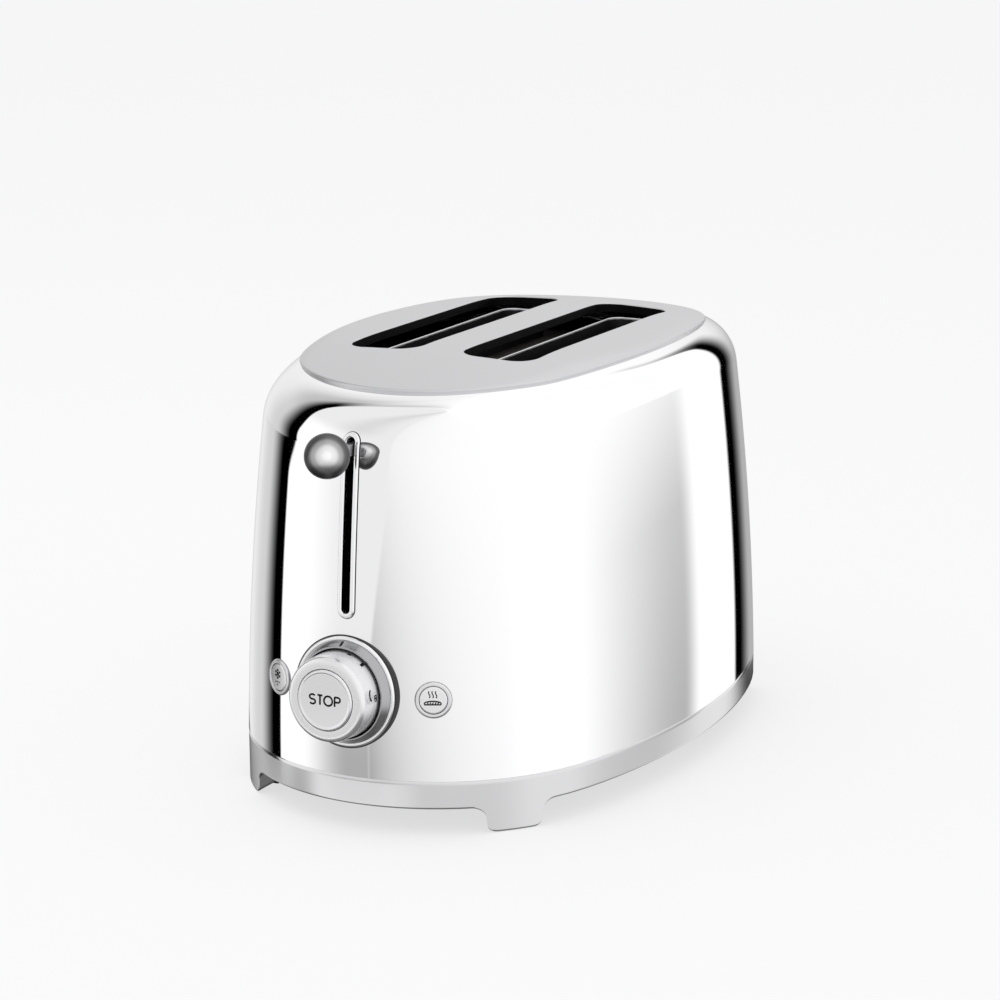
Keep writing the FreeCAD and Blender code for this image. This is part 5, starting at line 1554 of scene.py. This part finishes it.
rows_up = spread(tree, row, size["Rows"], vector(tree, 0.0, 0.0, size["Low"]),
                 vector(tree, 0.0, 0.0, size["Pitch"]))
link = step(tree, "MeshCube", {"Size": vector(tree, size["Thick"], size["Wide"], size["Pitch"])})
two_rows = vector(tree, 0.0, 0.0, maths(tree, "MULTIPLY", size["Pitch"], 2.0))
ends = []
for end, count, lift in (("Rear", 4, 0.5), ("Front", 3, 1.5)):
    at_height = maths(tree, "ADD", size["Low"], maths(tree, "MULTIPLY", size["Pitch"], lift))
    inward = maths(tree, "ADD", size[end], -1.0 if end == "Rear" else 1.0)
    ends.append(spread(tree, link, count, vector(tree, 0.0, inward, at_height), two_rows))
board = step(tree, "JoinGeometry", {0: [rows_up] + ends})
sets = []
for word in ("Inner", "Outer"):
    first_at = vector(tree, maths(tree, "MULTIPLY", size[word], -1.0))
    apart = vector(tree, maths(tree, "MULTIPLY", size[word], 2.0))
    sets.append(spread(tree, board, 2, first_at, apart))
close_tree(tree, sets, "heater ribbon")
grow("ribbons", tree, ribbon_sizes, "heater ribbon", stands_for=["heater_ribbons"],
     slot="heater_wire", corner=50.0)

# %% [markdown]
# ## The lift spring and the magnet's coil
# Both are wound wire. The spring is a helix with a hooked ring at each end. On the real toaster it
# is held above by the housing and below by the carriage, so it stretches as the lever goes down;
# here it is made once, at rest, on no body. The coil is copper wire in even layers.

# %% Grow the spring
spring_x, spring_y, spring_high, spring_low = 34.0, -100.0, 175.0, 110.0
spring_sizes = {"Turns": 20.0, "Radius": 4.1, "Wire": 0.5, "Low": 115.0, "Tall": 55.0, "Hook": 2.4}
hook_reach = 1.9
tree, size = new_tree("spring", **spring_sizes)
helix = step(tree, "CurveSpiral", {"Resolution": 24, "Rotations": size["Turns"],
                                   "Start Radius": size["Radius"], "End Radius": size["Radius"],
                                   "Height": size["Tall"]})
helix = step(tree, "Transform", {"Geometry": wire(tree, helix, size["Wire"], 8),
                                 "Translation": vector(tree, spring_x, spring_y, size["Low"])})
hook = step(tree, "CurvePrimitiveCircle", {"Resolution": 24, "Radius": size["Hook"]})
hook = step(tree, "Transform", {"Geometry": wire(tree, hook, size["Wire"], 8),
                                "Rotation": (math.pi / 2, 0.0, 0.6)})
lower_hook = vector(tree, spring_x, spring_y, maths(tree, "SUBTRACT", size["Low"], hook_reach))
hooks_apart = vector(tree, 0.0, 0.0, maths(tree, "ADD", size["Tall"], 2 * hook_reach))
close_tree(tree, [helix, spread(tree, hook, 2, lower_hook, hooks_apart)], "bright trim")
spring = grow("spring_wire", tree, spring_sizes, "bright trim", body=None,
              stands_for=["lift_spring"], slot="inner_steel", corner=60.0)
spring_top, spring_foot = to_metres([(spring_x, spring_y, spring_high),
                                     (spring_x, spring_y, spring_low)])
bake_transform(spring)

# %% Grow the coil
coil_x, coil_y, layer_step = -36.0, -100.0, 0.86
coil_sizes = {"Turns": 10, "Pitch": 0.86, "Wire": 0.42, "Low": 24.55}
tree, size = new_tree("coil", **coil_sizes)
layers = []
for layer in range(4):
    half_wide, half_tall = 6.15 - layer_step * layer, 9.05 - layer_step * layer
    ring = step(tree, "CurvePrimitiveQuadrilateral", {"Width": 2 * half_wide,
                                                      "Height": 2 * half_tall})
    layers.append(step(tree, "FilletCurve", {"Curve": ring, "Radius": 1.9 - 0.4 * layer,
                                             "Count": 5}, mode="POLY"))
winding = wire(tree, step(tree, "JoinGeometry", {0: layers}), size["Wire"], 8)
winding = spread(tree, winding, size["Turns"], vector(tree, coil_x, coil_y, size["Low"]),
                 vector(tree, 0.0, 0.0, size["Pitch"]))
close_tree(tree, [winding], "enamelled copper")
grow("coil_winding", tree, coil_sizes, "enamelled copper", stands_for=["magnet_coil"],
     slot="copper_coil", corner=60.0)

# %% [markdown]
# ## Pads and screws underneath
# Four rubber pads keep the feet from sliding, and six screws hold the base plate. One pad and
# one screw are turned, the screw's cross recess is cut by a boolean, and each is set on its points.

# %% Grow the pads and the screws
def loose_shape(name, section, segments):
    """An object that is only a tree's source: it is removed once the tree has run."""
    points, faces = turned(section, segments)
    mesh = bpy.data.meshes.new(name)
    mesh.from_pydata(points.tolist(), [], faces)
    return new_object(name, mesh)


def corners_of(tree, wide, long):
    """The four corners of a rectangle, as points."""
    return step(tree, "MeshGrid", {"Size X": wide, "Size Y": long,
                                   "Vertices X": 2, "Vertices Y": 2})


puck_section = soften([(0, 0.3), (2.0, 0.3), (2.3, 0.0), (3.4, 0.0), (3.4, 3.6), (0, 3.6)],
                      [0, 0.15, 0.15, 0.5, 0.2, 0], closed=False)
puck = loose_shape("puck", puck_section, 48)
pad_sizes = {"Wide apart": 130.0, "Long apart": 236.0}
tree, size = new_tree("pads", **pad_sizes)
source = step(tree, "ObjectInfo", {"Object": puck}, "Geometry")
pads = step(tree, "InstanceOnPoints", {
    "Points": corners_of(tree, size["Wide apart"], size["Long apart"]), "Instance": source})
close_tree(tree, [pads], "rubber")
grow("pads", tree, pad_sizes, "rubber", stands_for=["foot_pads"], slot="rubber_pads")

head_face = 10.9
thread = [(1.4 - 0.22 * (k % 2), 12.75 + 0.25 * k) for k in range(10)]
head = [(0, head_face), (1.7, 10.95), (2.6, 11.7), (2.6, 12.5), (1.4, 12.5)]
screw_section = soften(head + thread + [(0, 15.2)],
                       [0, 0.3, 0.5, 0.15, 0.05] + [0.02] * len(thread) + [0],
                       steps=4, closed=False)
screw = loose_shape("screw", screw_section, 40)
screw_sizes = {"Recess": 3.2, "Slit": 0.7, "Depth": 0.9, "Ends apart": 294.0, "Sides wide": 174.6,
               "Sides long": 90.0}
tree, size = new_tree("screws", **screw_sizes)
cutters = []
for long_way, short_way in (("Recess", "Slit"), ("Slit", "Recess")):
    deep = maths(tree, "MULTIPLY", size["Depth"], 2.0)
    slit = step(tree, "MeshCube", {"Size": vector(tree, size[long_way], size[short_way], deep)})
    cutters.append(step(tree, "Transform", {"Geometry": slit,
                                            "Translation": (0.0, 0.0, head_face)}))
source = step(tree, "ObjectInfo", {"Object": screw}, "Geometry")
cut = step(tree, "MeshBoolean", {0: source, 1: cutters}, operation="DIFFERENCE")
side_screws = step(tree, "InstanceOnPoints", {
    "Points": corners_of(tree, size["Sides wide"], size["Sides long"]), "Instance": cut})
half_apart = maths(tree, "MULTIPLY", size["Ends apart"], -0.5)
end_screws = spread(tree, cut, 2, vector(tree, 0.0, half_apart),
                    vector(tree, 0.0, size["Ends apart"]))
close_tree(tree, [side_screws, end_screws], "rolled steel")
grow("screws", tree, screw_sizes, "rolled steel", stands_for=["base_screws"], slot="inner_steel")
for obj in (puck, screw):
    bpy.data.objects.remove(obj)

# %% [markdown]
# ## Parts that keep their solid shape
# The sheet steel parts, boards and mouldings inside are already right as solids: what they
# need is their own material, on the same coordinates as every other finish.

# %% Finishes for the solids
kept = {
    "dark steel": "base_plate tray_rails magnet_bracket",
    "rolled steel": "crumb_tray carriage_plate bread_lifter_left bread_lifter_right keeper_plate "
                    "heat_shield_left heat_shield_right magnet_core",
    "heat tinted steel": "chassis_front chassis_rear chassis_top",
    "mica sheet": "heater_board_1 heater_board_2 heater_board_3 heater_board_4",
    "bright trim": "guide_rods",
    "black moulding": "contact_block stop_switch dial_control reheat_switch defrost_switch "
                      "board_stand terminal_block",
    "rubber": "cord_gland", "lacquered board": "control_board"}
for word, names in kept.items():
    for name in names.split():
        nodes[name].data.materials.clear()
        nodes[name].data.materials.append(materials[word])
print("finishes given to", sum(len(v.split()) for v in kept.values()), "solids")
